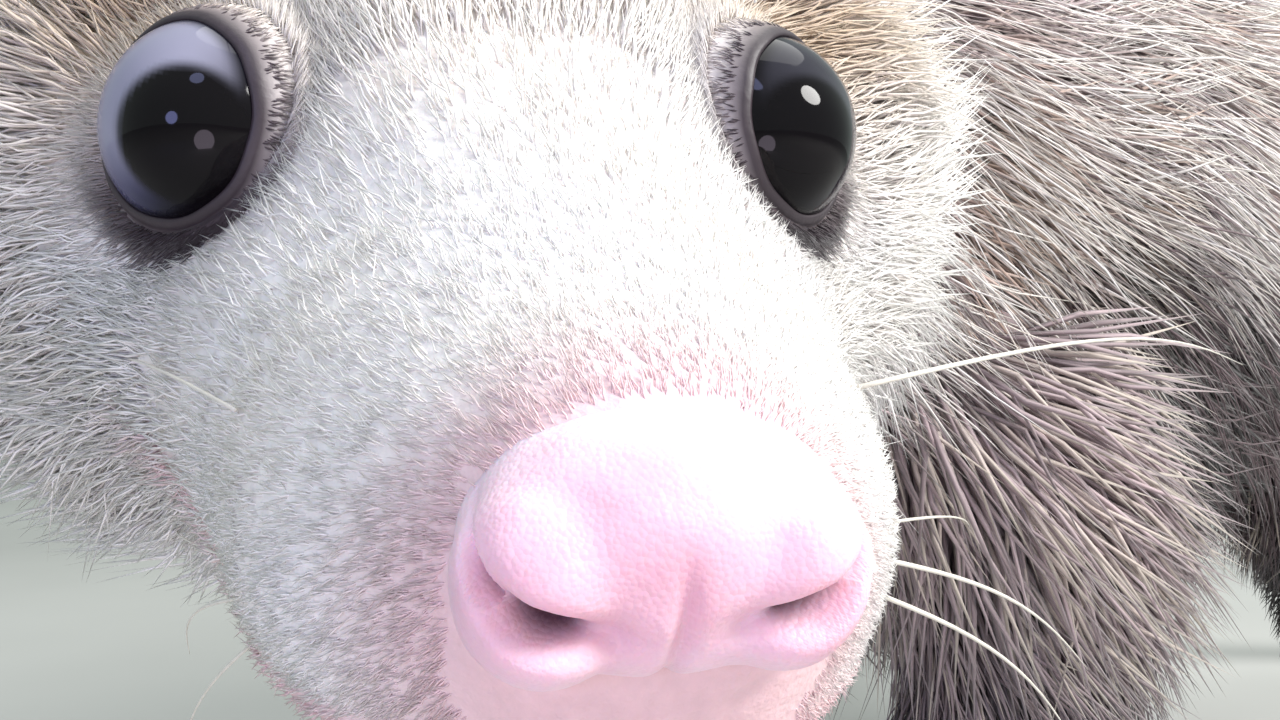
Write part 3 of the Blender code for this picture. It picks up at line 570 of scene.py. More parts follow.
def join_solids(target, others):
    """Melts closed solids into the target."""
    group = bpy.data.collections.new("pieces")
    bpy.context.scene.collection.children.link(group)
    for item in others:
        bpy.context.scene.collection.objects.unlink(item)
        group.objects.link(item)
    apply_modifier(
        target, "BOOLEAN", operation="UNION", operand_type="COLLECTION", collection=group, solver="MANIFOLD",
    )
    for item in others:
        bpy.data.objects.remove(item)
    bpy.data.collections.remove(group)


def face_outwards(piece):
    """Turns all faces of a closed piece outwards."""
    select_only(piece)
    bpy.ops.object.mode_set(mode="EDIT")
    bpy.ops.mesh.select_all(action="SELECT")
    bpy.ops.mesh.normals_make_consistent(inside=False)
    bpy.ops.object.mode_set(mode="OBJECT")


def ball(name, centre, radii, segments=32, rings=20):
    """An ellipsoid in the head's own axes: a sphere primitive, stretched and turned in its mesh."""
    bpy.ops.object.select_all(action="DESELECT")
    bpy.ops.mesh.primitive_uv_sphere_add(segments=segments, ring_count=rings, radius=1.0, location=(0, 0, 0))
    piece = bpy.context.object
    piece.name = name
    points = read_points(piece) * np.array(radii)
    write_points(piece, world(np.asarray(centre) + points @ HEAD_AXES))
    piece.data.shade_smooth()
    return piece


def read_points(piece):
    found = np.empty(len(piece.data.vertices) * 3, dtype=np.float32)
    piece.data.vertices.foreach_get("co", found)
    return found.reshape(-1, 3).astype(float)


def write_points(piece, points):
    piece.data.vertices.foreach_set("co", points.astype(np.float32).ravel())
    piece.data.update()


def design(points):
    """World points back in the millimetres that the shapes are worked out in."""
    return (points - SHIFT) / MM


# Skin

def head_skin():
    """The head and the start of the neck as one fine closed surface, finest at the snout."""
    places = np.concatenate((
        np.linspace(0.0, 2.0, 34, endpoint=False),
        np.linspace(2.0, 7.0, 78, endpoint=False),
        np.linspace(7.0, 9.6, 40, endpoint=False),
        np.linspace(9.6, 12.4, 16),
    ))
    rings = surface_rings(spine_surface, places, around(HEAD_SIDES))
    rings = seat_eyes(rings.reshape(-1, 3)).reshape(rings.shape)
    return tube("head_skin", rings)


def trunk_skin():
    places = np.linspace(NECK_START + 0.6, TAIL_START + 1.2, 70)
    return tube("trunk_skin", surface_rings(spine_surface, places, around(TRUNK_SIDES)))


def tail_skin():
    """The scaly tail, its scales set in staggered rows."""
    rings = surface_rings(spine_surface, TAIL_PLACES, around(TAIL_SIDES))
    middles = rings.mean(axis=1, keepdims=True)
    ring, side = np.meshgrid(np.arange(TAIL_RINGS), np.arange(TAIL_SIDES), indexing="ij")
    raised = (ring % 2 == 1) & ((side + ring // 2) % 2 == 0)
    swell = np.where(raised, SCALE_SWELL, 1.0)
    end = 1 - smooth_step(TAIL_TIP - 0.5, TAIL_TIP, TAIL_PLACES) * 0.6
    return tube("tail_skin", middles + (rings - middles) * (swell * end[:, None])[..., None])


def limb_skin(rows, side, step):
    surface = limb_surface(rows, side, step)
    rings = surface_rings(surface, np.linspace(0.0, LIMB_END, 44), around(LIMB_SIDES))
    return tube("limb_skin", rings, flip=side > 0)


def digit(root, heading, length, radius):
    """One toe, bent down at its joint and swollen at its pad, as a closed tube."""
    forward = np.array((math.sin(heading), -math.cos(heading), 0.0))
    across = np.array((math.cos(heading), math.sin(heading), 0.0))
    up = np.array((0.0, 0.0, 1.0))
    stations = (
        (-0.45, 5.0, 0.95), (-0.2, 5.2, 0.96), (0.05, 5.4, 0.96), (0.3, 5.5, 1.0), (0.42, 5.2, 0.92),
        (0.6, 4.0, 0.86), (0.75, 3.0, 0.98), (0.88, 2.6, 1.04), (1.0, 2.4, 0.9), (1.06, 2.4, 0.6),
    )
    turns = around(12)
    rings = []
    for share, height, half in stations:
        middle = root + forward * share * length + up * max(height, half * radius * 0.9)
        rings.append([
            middle + (across * math.cos(a) + up * math.sin(a)) * half * radius for a in turns
        ])
    return tube("toe", np.array(rings), flip=True)


def toe_roots(side, x, y, half_width, half_length, toes):
    for heading, length, radius, claw in toes:
        turn = side * math.radians(heading)
        root = np.array((
            side * x + math.sin(turn) * half_width * 0.72,
            y - math.cos(turn) * half_length * 0.74,
            0.0,
        ))
        yield root, turn, length, radius, claw


def level_ball(name, centre, radii):
    """An ellipsoid that lies along the body."""
    piece = ball(name, (0, 0, 0), (1, 1, 1), 24, 16)
    points = design(read_points(piece))
    turned = points @ HEAD_AXES.T
    write_points(piece, world(np.asarray(centre) + turned * np.array(radii)))
    return piece


def foot_plan(name, rows, step):
    """The pad's middle, its half sizes and the toes of a foot."""
    x, y = rows[-1, 0], rows[-1, 1] + step
    if name.startswith("foreleg"):
        return x, y - 13, 12.0, 14.0, FORE_TOES
    return x, y - 26, 12.5, 17.0, HIND_TOES


def toe_front(name, rows, step):
    """Where the toes leave the pad, along the body."""
    return foot_plan(name, rows, step)[1] - 12


def foot_skin(name, rows, side, step):
    """One foot: pad, heel, ankle and toes melted into one surface that is flat under the sole."""
    x, y, half_width, half_length, toes = foot_plan(name, rows, step)
    pieces = [level_ball("pad", (side * x, y, 5.2), (half_width, half_length, 6.9))]
    pieces += [digit(root, turn, length, radius) for root, turn, length, radius, _ in
               toe_roots(side, x, y, half_width, half_length, toes)]
    heel = rows[-1, 1] + step - 4
    if name.startswith("hindleg"):
        pieces.append(level_ball("heel", (side * x, heel, 5.6), (9.6, 14.6, 7.0)))
    surface = limb_surface(rows, side, step)
    ankle = surface_rings(surface, np.linspace(4.6, 5.5, 8), around(30))
    low = ankle[-1].copy()
    low[:, 2] = 4.0
    low[:, 1] -= 4.0 if name.startswith("foreleg") else 1.0
    pieces.append(tube("ankle", np.concatenate((ankle, [low])), flip=side > 0))
    foot = pieces.pop()
    join_solids(foot, pieces)
    apply_modifier(foot, "REMESH", mode="VOXEL", voxel_size=FOOT_GRAIN * MM)
    apply_modifier(foot, "SMOOTH", factor=0.6, iterations=5)
    points = read_points(foot)
    points[:, 2] = np.maximum(points[:, 2], 0.03 * MM)
    write_points(foot, points)
    return foot


def ear_sheet(side, across, height):
    """The middle sheet of an ear: across from -1 to 1 and height from 0 at the root to 1 at the rim."""
    lower = EAR_ROOT + (1 - EAR_ROOT) * np.sin(math.pi / 2 * np.minimum(height / EAR_WIDEST, 1))
    upper = np.sqrt(np.clip(1 - ((height - EAR_WIDEST) / (1 - EAR_WIDEST)) ** 2, 0, 1))
    spread = np.where(height < EAR_WIDEST, lower, upper)
    angle = across * (1.35 * (1 - height) + 0.55)
    width = across * EAR_HALF_WIDTH * spread * np.sinc(angle / math.pi)
    depth = EAR_CUP * ((1 - np.cos(angle)) * (1.7 - height) - 0.55)
    depth += 0.35 * np.sin(across * 9 + height * 7) * height * (1 - np.abs(across))
    for place, reach, rise in EAR_FOLDS:
        fold = rise * np.exp(-(((across - place) / reach) ** 2))
        depth += fold * (1 - height) ** 2 * np.minimum(height * 4, 1)
    facing = np.array((math.cos(EAR_FACE_OUT), side * math.sin(EAR_FACE_OUT), 0)) @ HEAD_AXES
    sideways = np.array((-math.sin(EAR_FACE_OUT), side * math.cos(EAR_FACE_OUT), 0)) @ HEAD_AXES
    up = unit(HEAD_AXES[2] + sideways * math.tan(EAR_LEAN_OUT) - facing * math.tan(EAR_LEAN_BACK))
    root = head_point((EAR_PLACE[0], side * EAR_PLACE[1], EAR_PLACE[2]))
    tall = (height - EAR_SUNK) * EAR_HEIGHT
    flat = root + np.multiply.outer(width, sideways) + np.multiply.outer(depth, facing)
    return flat + np.multiply.outer(tall, up)


def ear_skin(side):
    """One thin cupped ear with a closed rim, its wall thinner towards the edge."""
    columns, rows = 44, 34
    across, height = np.meshgrid(np.linspace(-1, 1, columns), np.linspace(0, 0.995, rows), indexing="xy")
    sheet = ear_sheet(side, across, height)
    normal = unit(np.cross(np.gradient(sheet, axis=1), np.gradient(sheet, axis=0)))
    edge = np.minimum(1 - np.abs(across), (1 - height) * 1.5)
    half = (EAR_WALL / 2 * (0.45 + 0.55 * smooth_step(0, 0.25, edge)))[..., None]
    front, back = sheet - normal * half, sheet + normal * half
    points = np.concatenate((front.reshape(-1, 3), back.reshape(-1, 3)))
    r, c = np.meshgrid(np.arange(rows - 1), np.arange(columns - 1), indexing="ij")
    corner = r * columns + c
    face = np.stack((corner, corner + 1, corner + columns + 1, corner + columns), -1).reshape(-1, 4)
    behind = face[:, ::-1] + rows * columns
    border = np.concatenate((
        np.arange(columns - 1),
        np.arange(rows - 1) * columns + columns - 1,
        (rows - 1) * columns + np.arange(columns - 1, 0, -1),
        np.arange(rows - 1, 0, -1) * columns,
    ))
    following = np.roll(border, -1)
    strip = np.stack((following, border, border + rows * columns, following + rows * columns), -1)
    quads = np.concatenate((face, behind, strip))
    piece = mesh_piece("ear_skin", points, quads, np.empty((0, 3), dtype=int))
    face_outwards(piece)
    return piece


def blend(base, colour, share):
    share = np.clip(share, 0, 1)[..., None]
    return base * (1 - share) + np.array(colour) * share


def near(local, place, reach):
    """How close points are to a place on either side of the head, from 1 at it to 0."""
    mirrored = np.stack((local[:, 0], np.abs(local[:, 1]), local[:, 2]), -1)
    return np.exp(-(np.linalg.norm(mirrored - place, axis=-1) / reach) ** 2)


def eye_edge(points):
    """How far points lie past the nearer eye's opening, in radians round the ball, and over the ball."""
    past, over = np.full(len(points), 9.0), np.full(len(points), 99.0)
    for side in (-1, 1):
        width, height = round_eye(points, side)
        closer = np.hypot(width, height) - EYE_RADIUS < over
        past = np.where(closer, np.arctan2(width, height) - OPENING_EDGE, past)
        over = np.where(closer, np.hypot(width, height) - EYE_RADIUS, over)
    return past, over


def face_colours(points):
    """The markings of the face and neck, the same for skin and hair, with painted shade along the mouth line.
    """
    local = head_local(points)
    forward, up = local[:, 0], local[:, 2]
    tone = np.tile(np.array(WHITE), (len(points), 1))
    tone = blend(tone, CREAM, 0.08 + 0.1 * drift(points, 16, 50))
    tone = blend(tone, CREAM, 0.6 * near(local, (-6, 0, 12), 15))
    tone = blend(tone, TAN, 0.45 * near(local, (-20, 0, 17), 15))
    tone = blend(tone, TAN, 0.95 * near(local, (-9, 26, 7), 9.5))
    tone = blend(tone, ASH, 0.8 * smooth_step(-30, -56, forward) * smooth_step(-6, 14, up))
    tone = blend(tone, ASH, 0.75 * near(local, (-38, 24, 19), 12))
    tone = blend(tone, MAUVE, 0.35 * near(local, (7, 17, -8), 5.5))
    tone = blend(tone, MAUVE, 0.3 * near(local, (3, 12, 2), 5.0))
    past, over = eye_edge(points)
    rim = (1 - smooth_step(0.05, 0.42, past)) * (1 - smooth_step(1.5, 3.5, over))
    tone = blend(tone, MAUVE, 0.95 * rim)
    tone = blend(tone, LID_DARK, (1 - smooth_step(0.08, 0.26, past)) * (over < 2.5))
    tone = blend(tone, PINK, 0.85 * smooth_step(38.0, 48.5, forward))
    gap = np.abs(mouth_height(forward) - up)
    lips = (1 - smooth_step(0.8, 3.2, gap)) * smooth_step(0, 6, forward)
    tone = blend(tone, PINK, 0.85 * lips)
    # Painted shade: the line where the lips meet is coloured dark mauve.
    return blend(tone, MAUVE, 0.9 * (1 - smooth_step(0.2, 0.8, gap)) * smooth_step(0, 6, forward))


def flank_dark_fur_and_shade(points):
    """Where the flank behind the foreleg is darkest: its fur is darker there, with shade painted in on top.
    """
    y, z = points[:, 1], points[:, 2]
    return smooth_step(168, 136, z) * smooth_step(-122, -80, y) * smooth_step(90, 30, y)


def trunk_colours(points, place):
    """The underfur of neck and trunk: mauve-grey, paler on the chest, darker on the flanks and hips; its
    darkening towards the floor and on the flank behind the foreleg is partly painted shade.
    """
    y, z = points[:, 1], points[:, 2]
    tone = np.tile(np.array(ASH), (len(points), 1))
    tone = blend(tone, TAN, 0.16 + 0.2 * drift(points, 45, 51))
    # Darker towards the floor: partly darker fur, partly painted shade.
    tone = blend(tone, BROWN, smooth_step(128, 92, z) * (0.5 + 0.4 * smooth_step(-130, -80, y)))
    # The flank behind the foreleg turns near-black: darker fur, and painted shade.
    tone = blend(tone, SOOT, 0.95 * flank_dark_fur_and_shade(points))
    tone = blend(tone, BROWN, 0.6 * np.exp(-(((y - 100) / 34) ** 2)) * smooth_step(190, 120, z))
    return blend(tone, WHITE, 0.6 * smooth_step(12.6, 10.4, place))


def limb_colours(points):
    """Black limbs that turn grizzled where they meet the body, most of all at the front of the shoulder."""
    y, z = points[:, 1], points[:, 2]
    tone = np.tile(np.array(SOOT), (len(points), 1))
    tone = blend(tone, BROWN, 0.7 * smooth_step(70, 112, z))
    return blend(tone, ASH, 0.65 * smooth_step(64, 108, z) * smooth_step(-78, -104, y))


def foot_colours(points, front):
    """Black above, pinkish white on the toes and the sole."""
    y, z = points[:, 1], points[:, 2]
    tone = np.tile(np.array(PINK) * 0.9, (len(points), 1))
    tone = blend(tone, SOOT, smooth_step(front, front + 8, y) * smooth_step(3, 7, z))
    return blend(tone, SOOT, smooth_step(12, 18, z))


def tail_colours(place):
    tone = np.tile(np.array(SLATE), (len(place), 1))
    return blend(tone, TAIL_PINK, smooth_step(26.2, 27.4, place))


def ear_colours(points):
    _, left, up = head_local(points).T
    tone = np.tile(np.array(SLATE), (len(points), 1))
    return blend(tone, EAR_PINK, smooth_step(48, 57, up + 0.12 * np.abs(left)))


def grade(piece, name, amount):
    """Gives every point of a piece the same number."""
    layer = piece.data.attributes.new(name, "FLOAT", "POINT")
    layer.data.foreach_set("value", np.full(len(piece.data.vertices), amount, dtype=np.float32))


def heal_tones(piece):
    """Gives the points where two parts were joined the colour of their nearest neighbour."""
    layer = piece.data.color_attributes["tone"]
    tones = np.empty(len(layer.data) * 4, dtype=np.float32)
    layer.data.foreach_get("color", tones)
    tones = tones.reshape(-1, 4)
    points = read_points(piece)
    lost = (tones[:, :3].min(axis=1) > 0.99) | (tones[:, :3].max(axis=1) < 0.001)
    known = np.flatnonzero(~lost)
    tree = KDTree(len(known))
    for index in known:
        tree.insert(points[index], index)
    tree.balance()
    for index in np.flatnonzero(lost):
        tones[index] = tones[tree.find(points[index])[1]]
    layer.data.foreach_set("color", tones.ravel())


def face_middles(piece):
    """The middle, outward direction and area of every face of a piece."""
    count = len(piece.data.polygons)
    found = []
    for key, width in (("center", 3), ("normal", 3), ("area", 1)):
        flat = np.empty(count * width, dtype=np.float32)
        piece.data.polygons.foreach_get(key, flat)
        found.append(flat.reshape(count, width).astype(float))
    middles, normals, areas = found
    return design(middles), normals, areas[:, 0]


def make_skin():
    """The whole skin in one piece, and where hair may grow on its feet."""
    head = head_skin()
    colour_in(head, face_colours(design(read_points(head))))
    grade(head, "scales", 0)
    parts = []
    trunk = trunk_skin()
    points = design(read_points(trunk))
    colour_in(trunk, trunk_colours(points, 11.0 + (points[:, 1] + 171) / 30))
    parts.append(trunk)
    tail = tail_skin()
    places = np.concatenate((np.repeat(TAIL_PLACES, TAIL_SIDES), [TAIL_START, TAIL_TIP]))
    colour_in(tail, tail_colours(places))
    for side in (-1, 1):
        ear = ear_skin(side)
        colour_in(ear, ear_colours(design(read_points(ear))))
        parts.append(ear)
    foot_roots = {}
    for name, rows, side, step in limbs():
        limb = limb_skin(rows, side, step)
        colour_in(limb, limb_colours(design(read_points(limb))))
        parts.append(limb)
        foot = foot_skin(name, rows, side, step)
        points = design(read_points(foot))
        colour_in(foot, foot_colours(points, toe_front(name, rows, step)))
        foot_roots[name] = face_middles(foot)
        parts.append(foot)
    for part in parts:
        grade(part, "scales", 0)
    grade(tail, "scales", 1)
    join_solids(head, [*parts, tail])
    heal_tones(head)
    head.name = "skin"
    return head, foot_roots


# Coat

def surface_frame(surface, place, angle):
    """The point, outward normal, course down the body and sideways direction at places on a surface."""
    nudge = 0.01
    here = surface(place, angle)
    along = surface(place + nudge, angle) - here
    beside = surface(place, angle + nudge) - here
    normal = unit(np.cross(along, beside))
    outward = surface(place, angle, 1.0) - here
    normal = normal * np.sign(dot(normal, outward))[:, None]
    course = unit(along - normal * dot(along, normal)[:, None])
    return here, normal, course, np.cross(normal, course)


def sow(surface, places, turns, density, count, draw, grid=(150, 150)):
    """Places and angles of roots scattered over part of a surface, as thick as density says at each point."""
    edges = np.linspace(*places, grid[0] + 1)
    spokes = np.linspace(*turns, grid[1] + 1)
    step, spread = edges[1] - edges[0], spokes[1] - spokes[0]
    place, angle = np.meshgrid(edges[:-1] + step / 2, spokes[:-1] + spread / 2, indexing="ij")
    place, angle = place.ravel(), angle.ravel()
    here = surface(place, angle)
    along = surface(place + 0.01, angle) - here
    beside = surface(place, angle + 0.01) - here
    weight = np.linalg.norm(np.cross(along, beside), axis=-1) * density(here, place)
    cells = draw.choice(len(weight), count, p=weight / weight.sum())
    return (
        place[cells] + draw.uniform(-0.5, 0.5, count) * step,
        angle[cells] + draw.uniform(-0.5, 0.5, count) * spread,
    )


def grow(name, root, normal, lie, length, width, lift, tones, spots, shares=(0.0, 0.45), sag=0.0, shift=None,
         bow=None):
    """Tufts as thin closed blades of three sides that leave the skin, bend over and taper to a point.

    Lift holds the angles from the skin at the root and at the tip. Tones holds the colours at root and tip.
    Shift moves each tip, and bow bends each tuft sideways.
    """
    stations = np.array((*shares, 1.0))
    count = len(root)
    side = unit(np.cross(lie, normal))
    line = [root - normal * np.minimum(ROOT_DEPTH, 0.12 * length)[:, None]]
    for before, after in zip(stations, stations[1:]):
        share = (before + after) / 2
        angle = lift[0] * (1 - share) + lift[1] * share
        course = lie * np.cos(angle)[:, None] + normal * np.sin(angle)[:, None]
        step = course * (length * (after - before))[:, None]
        step[:, 2] -= sag * length * (after - before) * share
        line.append(line[-1] + step)
    line = np.stack(line, axis=1)
    if shift is not None:
        line = line + shift[:, None, :] * (stations**1.5)[None, :, None]
    if bow is not None:
        line = line + side[:, None] * (bow[:, None] * np.sin(stations * math.pi * 1.3))[..., None]
    swell = np.interp(stations, (0.0, 0.3, 0.7, 1.0), (0.75, 1.0, 0.72, 0.0))
    half = width[:, None] * swell[None, :] / 2
    k = len(shares)
    centre, reach = line[:, :k], half[:, :k, None]
    ring = np.stack((
        centre + side[:, None] * reach,
        centre + normal[:, None] * reach * BLADE_DEPTH,
        centre - side[:, None] * reach,
    ), axis=2)
    points = np.concatenate((ring.reshape(count, -1, 3), line[:, k:]), axis=1)
    points[..., 2] = np.maximum(points[..., 2], LEAST_HEIGHT)
    per = 3 * k + 1
    first = np.arange(count)[:, None, None] * per
    walls = ((0, 1), (1, 2), (2, 0))
    quads = np.array([
        (3 * j + a, 3 * j + b, 3 * j + 3 + b, 3 * j + 3 + a) for j in range(k - 1) for a, b in walls
    ])
    last = 3 * (k - 1)
    ends = np.array([*((last + a, last + b, per - 1) for a, b in walls), (0, 2, 1)])
    piece = mesh_piece(
        name, points.reshape(-1, 3), (first + quads).reshape(-1, 4), (first + ends).reshape(-1, 3),
    )
    along = np.concatenate((np.repeat(stations[:k], 3), [1.0]))
    shade = tones[0][:, None] * (1 - along[None, :, None]) + tones[1][:, None] * along[None, :, None]
    colour_in(piece, np.clip(shade.reshape(-1, 3), 0, 0.95))
    across = np.concatenate((np.tile((-0.5, 0.0, 0.5), k), [0.0]))
    patch = TUFT_PATCH * np.stack((across, along), -1)
    lay_out(piece, (spots[:, None] + patch[None]).reshape(-1, 2))
    return piece


def spine_spots(place, angle):
    """Where roots lie on an unwrap of the spine's skin."""
    return np.stack((0.02 + 0.6 * (angle / (2 * math.pi) % 1.0), 0.01 + 0.97 * place / TAIL_TIP), -1)


def limb_spots(number, place, angle):
    return np.stack((0.66 + 0.08 * number + 0.06 * (angle / (2 * math.pi) % 1.0), 0.01 + 0.15 * place), -1)


def foot_spots(number, points):
    """Where the roots on a foot lie on the unwrap, beyond the end of their limb."""
    low, high = points.min(axis=0), points.max(axis=0)
    share = (points - low) / (high - low)
    return np.stack((0.66 + 0.08 * number + 0.06 * share[:, 0], 0.87 + 0.11 * share[:, 1]), -1)


def ear_spots(number, across, height):
    return np.stack((0.66 + 0.17 * number + 0.07 * (across + 1), 0.845 + 0.018 * height), -1)


def lid_spots(number, past, turn):
    return np.stack((0.66 + 0.17 * number + 0.15 * (turn / (2 * math.pi) % 1.0), 0.79 + 0.04 * past), -1)


def off_the_bare(points):
    """False where roots would stand on the nose, in the eyes or in the mouth."""
    forward, left, up = head_local(points).T
    free = (forward < 46.5) | (np.abs(left) > 8.5)
    gap = np.abs(mouth_height(forward) - up)
    free &= (gap > 0.9) | (forward < 3)
    for side in (-1, 1):
        width, height = round_eye(points, side)
        free &= (width > EYE_OPENING + 0.45) | (height < 0)
    return free


def combed(normal, course, direction, share):
    """The lie of hair, turned from its course towards a direction and kept in the skin."""
    lie = course * (1 - share)[:, None] + direction * share[:, None]
    return unit(lie - normal * dot(lie, normal)[:, None])


# How the coat of the head changes from nose to neck: forward of the eyes, length, width, and lift at the
# root in degrees.
FACE_COAT = np.array((
    (52.0, 1.2, 0.10, 24),
    (40.0, 2.0, 0.115, 24),
    (25.0, 3.8, 0.15, 24),
    (8.0, 6.0, 0.20, 28),
    (-2.0, 8.5, 0.24, 36),
    (-10.0, 12.5, 0.30, 48),
    (-22.0, 19.0, 0.40, 58),
    (-40.0, 20.5, 0.46, 56),
    (-60.0, 24.0, 0.56, 44),
))[::-1]


def face_coat_at(points):
    """Length, width and lift of the face's hair, which is shortest round the eyes."""
    forward = head_local(points)[:, 0]
    length, width, lift = (np.interp(forward, FACE_COAT[:, 0], FACE_COAT[:, k]) for k in (1, 2, 3))
    nearest = np.minimum(round_eye(points, -1)[0], round_eye(points, 1)[0])
    close = 1 - smooth_step(EYE_OPENING + 1, EYE_OPENING + 10, nearest)
    return length * (1 - 0.66 * close), width * (1 - 0.4 * close), lift * (1 - 0.3 * close)


def face_density(points, _):
    length, width, _ = face_coat_at(points)
    return off_the_bare(points) * seen_side(points) / (length * width)


def seen_side(points):
    """More tufts on the upper face than low down under the jaw."""
    local = head_local(points)
    return 0.45 + 0.55 * smooth_step(-34, -26, local[:, 2])


def make_face_coat(name, places, count, seed):
    """Hair of the head, which lies back from the nose, down on the cheeks and away from the eyes."""
    draw = np.random.default_rng(seed)
    place, angle = sow(spine_surface, places, (0, 2 * math.pi), face_density, count, draw, (260, 260))
    keep = off_the_bare(spine_surface(place, angle))
    place, angle = place[keep], angle[keep]
    root, normal, course, _ = surface_frame(spine_surface, place, angle)
    root = seat_eyes(root)
    count = len(root)
    length, width, lift = face_coat_at(root)
    local = head_local(root)
    droop = 0.25 * smooth_step(0, 14, np.abs(local[:, 1])) + draw.normal(0, 0.05, count)
    lie = combed(normal, course, np.tile(-HEAD_AXES[2], (count, 1)), np.clip(droop, 0, 0.6))
    for side in (-1, 1):
        width_off, height = round_eye(root, side)
        away = unit(root - eye_centre(side) - height[:, None] * eye_axis(side))
        close = 1 - smooth_step(EYE_OPENING + 1, EYE_OPENING + 7, width_off)
        lie = combed(normal, lie, away, 0.6 * close)
    swirl = 0.4 * drift(root, 13, 60) * smooth_step(8, -12, local[:, 0]) + draw.normal(0, 0.15, count)
    lie = unit(lie + np.cross(normal, lie) * swirl[:, None])
    length = length * draw.uniform(0.7, 1.15, count)
    width = width * draw.uniform(0.8, 1.25, count)
    angle_up = np.radians(lift * draw.uniform(0.75, 1.2, count))
    tone = face_colours(root) * draw.uniform(0.93, 1.1, count)[:, None]
    neck = smooth_step(-38, -58, local[:, 0])
    tone = blend(tone, ASH, 0.5 * neck * (draw.random(count) < 0.5))
    # Painted shade and light: each tuft is darker at its root, deep in the coat, and lighter at its tip.
    return grow(
        name, root, normal, lie, length, width, (angle_up, angle_up * 0.35), (tone * 0.93, tone * 1.06),
        spine_spots(place, angle), bow=length * draw.normal(0, 0.05, count),
    )


TRUNK_COAT_START = 11.2


def fineness(place):
    """How wide the trunk's tufts are, as a share: finest on the neck and shoulders."""
    return np.interp(place, (11.0, 14.0, 17.0, 24.0), (0.62, 0.72, 1.0, 0.8))


def trunk_density(_, place):
    return (1.0 - 0.5 * smooth_step(21.5, 24, place)) / fineness(place) ** 2


def flank_lie(root, normal, course, draw, spread):
    """Backwards along the body and, on the flanks, down towards the floor, in loose swirls."""
    count = len(normal)
    fall = 0.42 * np.abs(normal[:, 0]) + draw.normal(0, 0.05, count)
    down = np.tile((0.0, 0.0, -1.0), (count, 1))
    lie = combed(normal, course, down, np.clip(fall, 0, 0.8))
    swirl = 0.34 * drift(root, 58, 61) + 0.2 * drift(root, 22, 62) + draw.normal(0, spread, count)
    return unit(lie + np.cross(normal, lie) * swirl[:, None])


def coat_size(place):
    """The coat's length along the body, as a share: shorter on the neck and towards the tail."""
    return np.interp(place, (10.5, 12.5, 14.0, 21.0, 23.4, 26.2), (0.5, 0.75, 1.0, 1.0, 0.62, 0.2))


def make_under_coat(name, count, seed):
    """Soft wool close to the skin."""
    draw = np.random.default_rng(seed)
    place, angle = sow(spine_surface, (TRUNK_COAT_START, 24.2), (0, 2 * math.pi), trunk_density, count, draw)
    root, normal, course, _ = surface_frame(spine_surface, place, angle)
    lie = flank_lie(root, normal, course, draw, 0.28)
    size = coat_size(place)
    length = WOOL_LENGTH * size * draw.uniform(0.7, 1.2, count)
    lift = np.radians(draw.uniform(26, 52, count))
    shade = 1 + 0.22 * drift(root, 24, 63) + draw.uniform(-0.2, 0.2, count)
    tone = trunk_colours(root, place) * shade[:, None]
    width = WOOL_WIDTH * fineness(place) * (0.5 + 0.5 * size)
    return grow(
        name, root, normal, lie, length, width, (lift, lift * 0.4), (tone * 0.72, tone * 1.22),
        spine_spots(place, angle), sag=0.05, bow=length * draw.normal(0, 0.06, count),
    )


def make_guard_coat(name, count, seed, clump=6):
    """Long pale hairs that leave the skin in loose clumps, each drawn together towards its tip."""
    draw = np.random.default_rng(seed)
    heads = count // clump
    place, angle = sow(spine_surface, (TRUNK_COAT_START, 24.4), (0, 2 * math.pi), trunk_density, heads, draw)
    root, normal, course, beside = surface_frame(spine_surface, place, angle)
    lie = flank_lie(root, normal, course, draw, 0.12)
    lift = np.radians(draw.uniform(20, 36, heads))
    dark_clump = draw.random(heads)
    each = np.repeat(np.arange(heads), clump)
    total = len(each)
    size, fine = coat_size(place)[each], fineness(place)[each]
    offset = draw.normal(0, CLUMP_REACH, (total, 2)) * (size * fine)[:, None]
    across = course[each] * offset[:, :1] + beside[each] * offset[:, 1:]
    roots = root[each] + across
    gather = across * -0.6
    gather[draw.random(total) < 0.25] *= -0.8
    own_lie = unit(lie[each] + np.cross(normal[each], lie[each]) * draw.normal(0, 0.09, total)[:, None])
    length = GUARD_LENGTH * size * draw.uniform(0.6, 1.12, total)
    width = GUARD_WIDTH * fine * draw.uniform(0.7, 1.3, total) * (0.6 + 0.4 * size)
    angle_up = lift[each] * draw.uniform(0.8, 1.25, total)
    tone = np.tile(np.array(WHITE), (total, 1))
    tone = blend(tone, CREAM, 0.6 * draw.random(total))
    # Lower on the body and on the flank behind the foreleg the guard hairs are darker, their roots most:
    # partly darker fur, partly painted shade.
    low = np.maximum(smooth_step(145, 92, roots[:, 2]), flank_dark_fur_and_shade(roots))
    dark = (dark_clump[each] < 0.1 + 0.82 * low) | (draw.random(total) < 0.12)
    tone = blend(tone, BROWN, dark * draw.uniform(0.5, 0.95, total) + 0.65 * flank_dark_fur_and_shade(roots))
    base = blend(tone, ASH, np.full(total, 0.6)) * (1 - 0.55 * low)[:, None]
    return grow(
        name, roots, normal[each], own_lie, length, width, (angle_up, angle_up * 0.25), (base, tone),
        spine_spots(place[each], angle[each]), shares=(0.0, 0.32, 0.68), sag=0.07, shift=gather,
        bow=length * (0.07 * drift(roots, 30, 64) + draw.normal(0, 0.035, total)),
    )


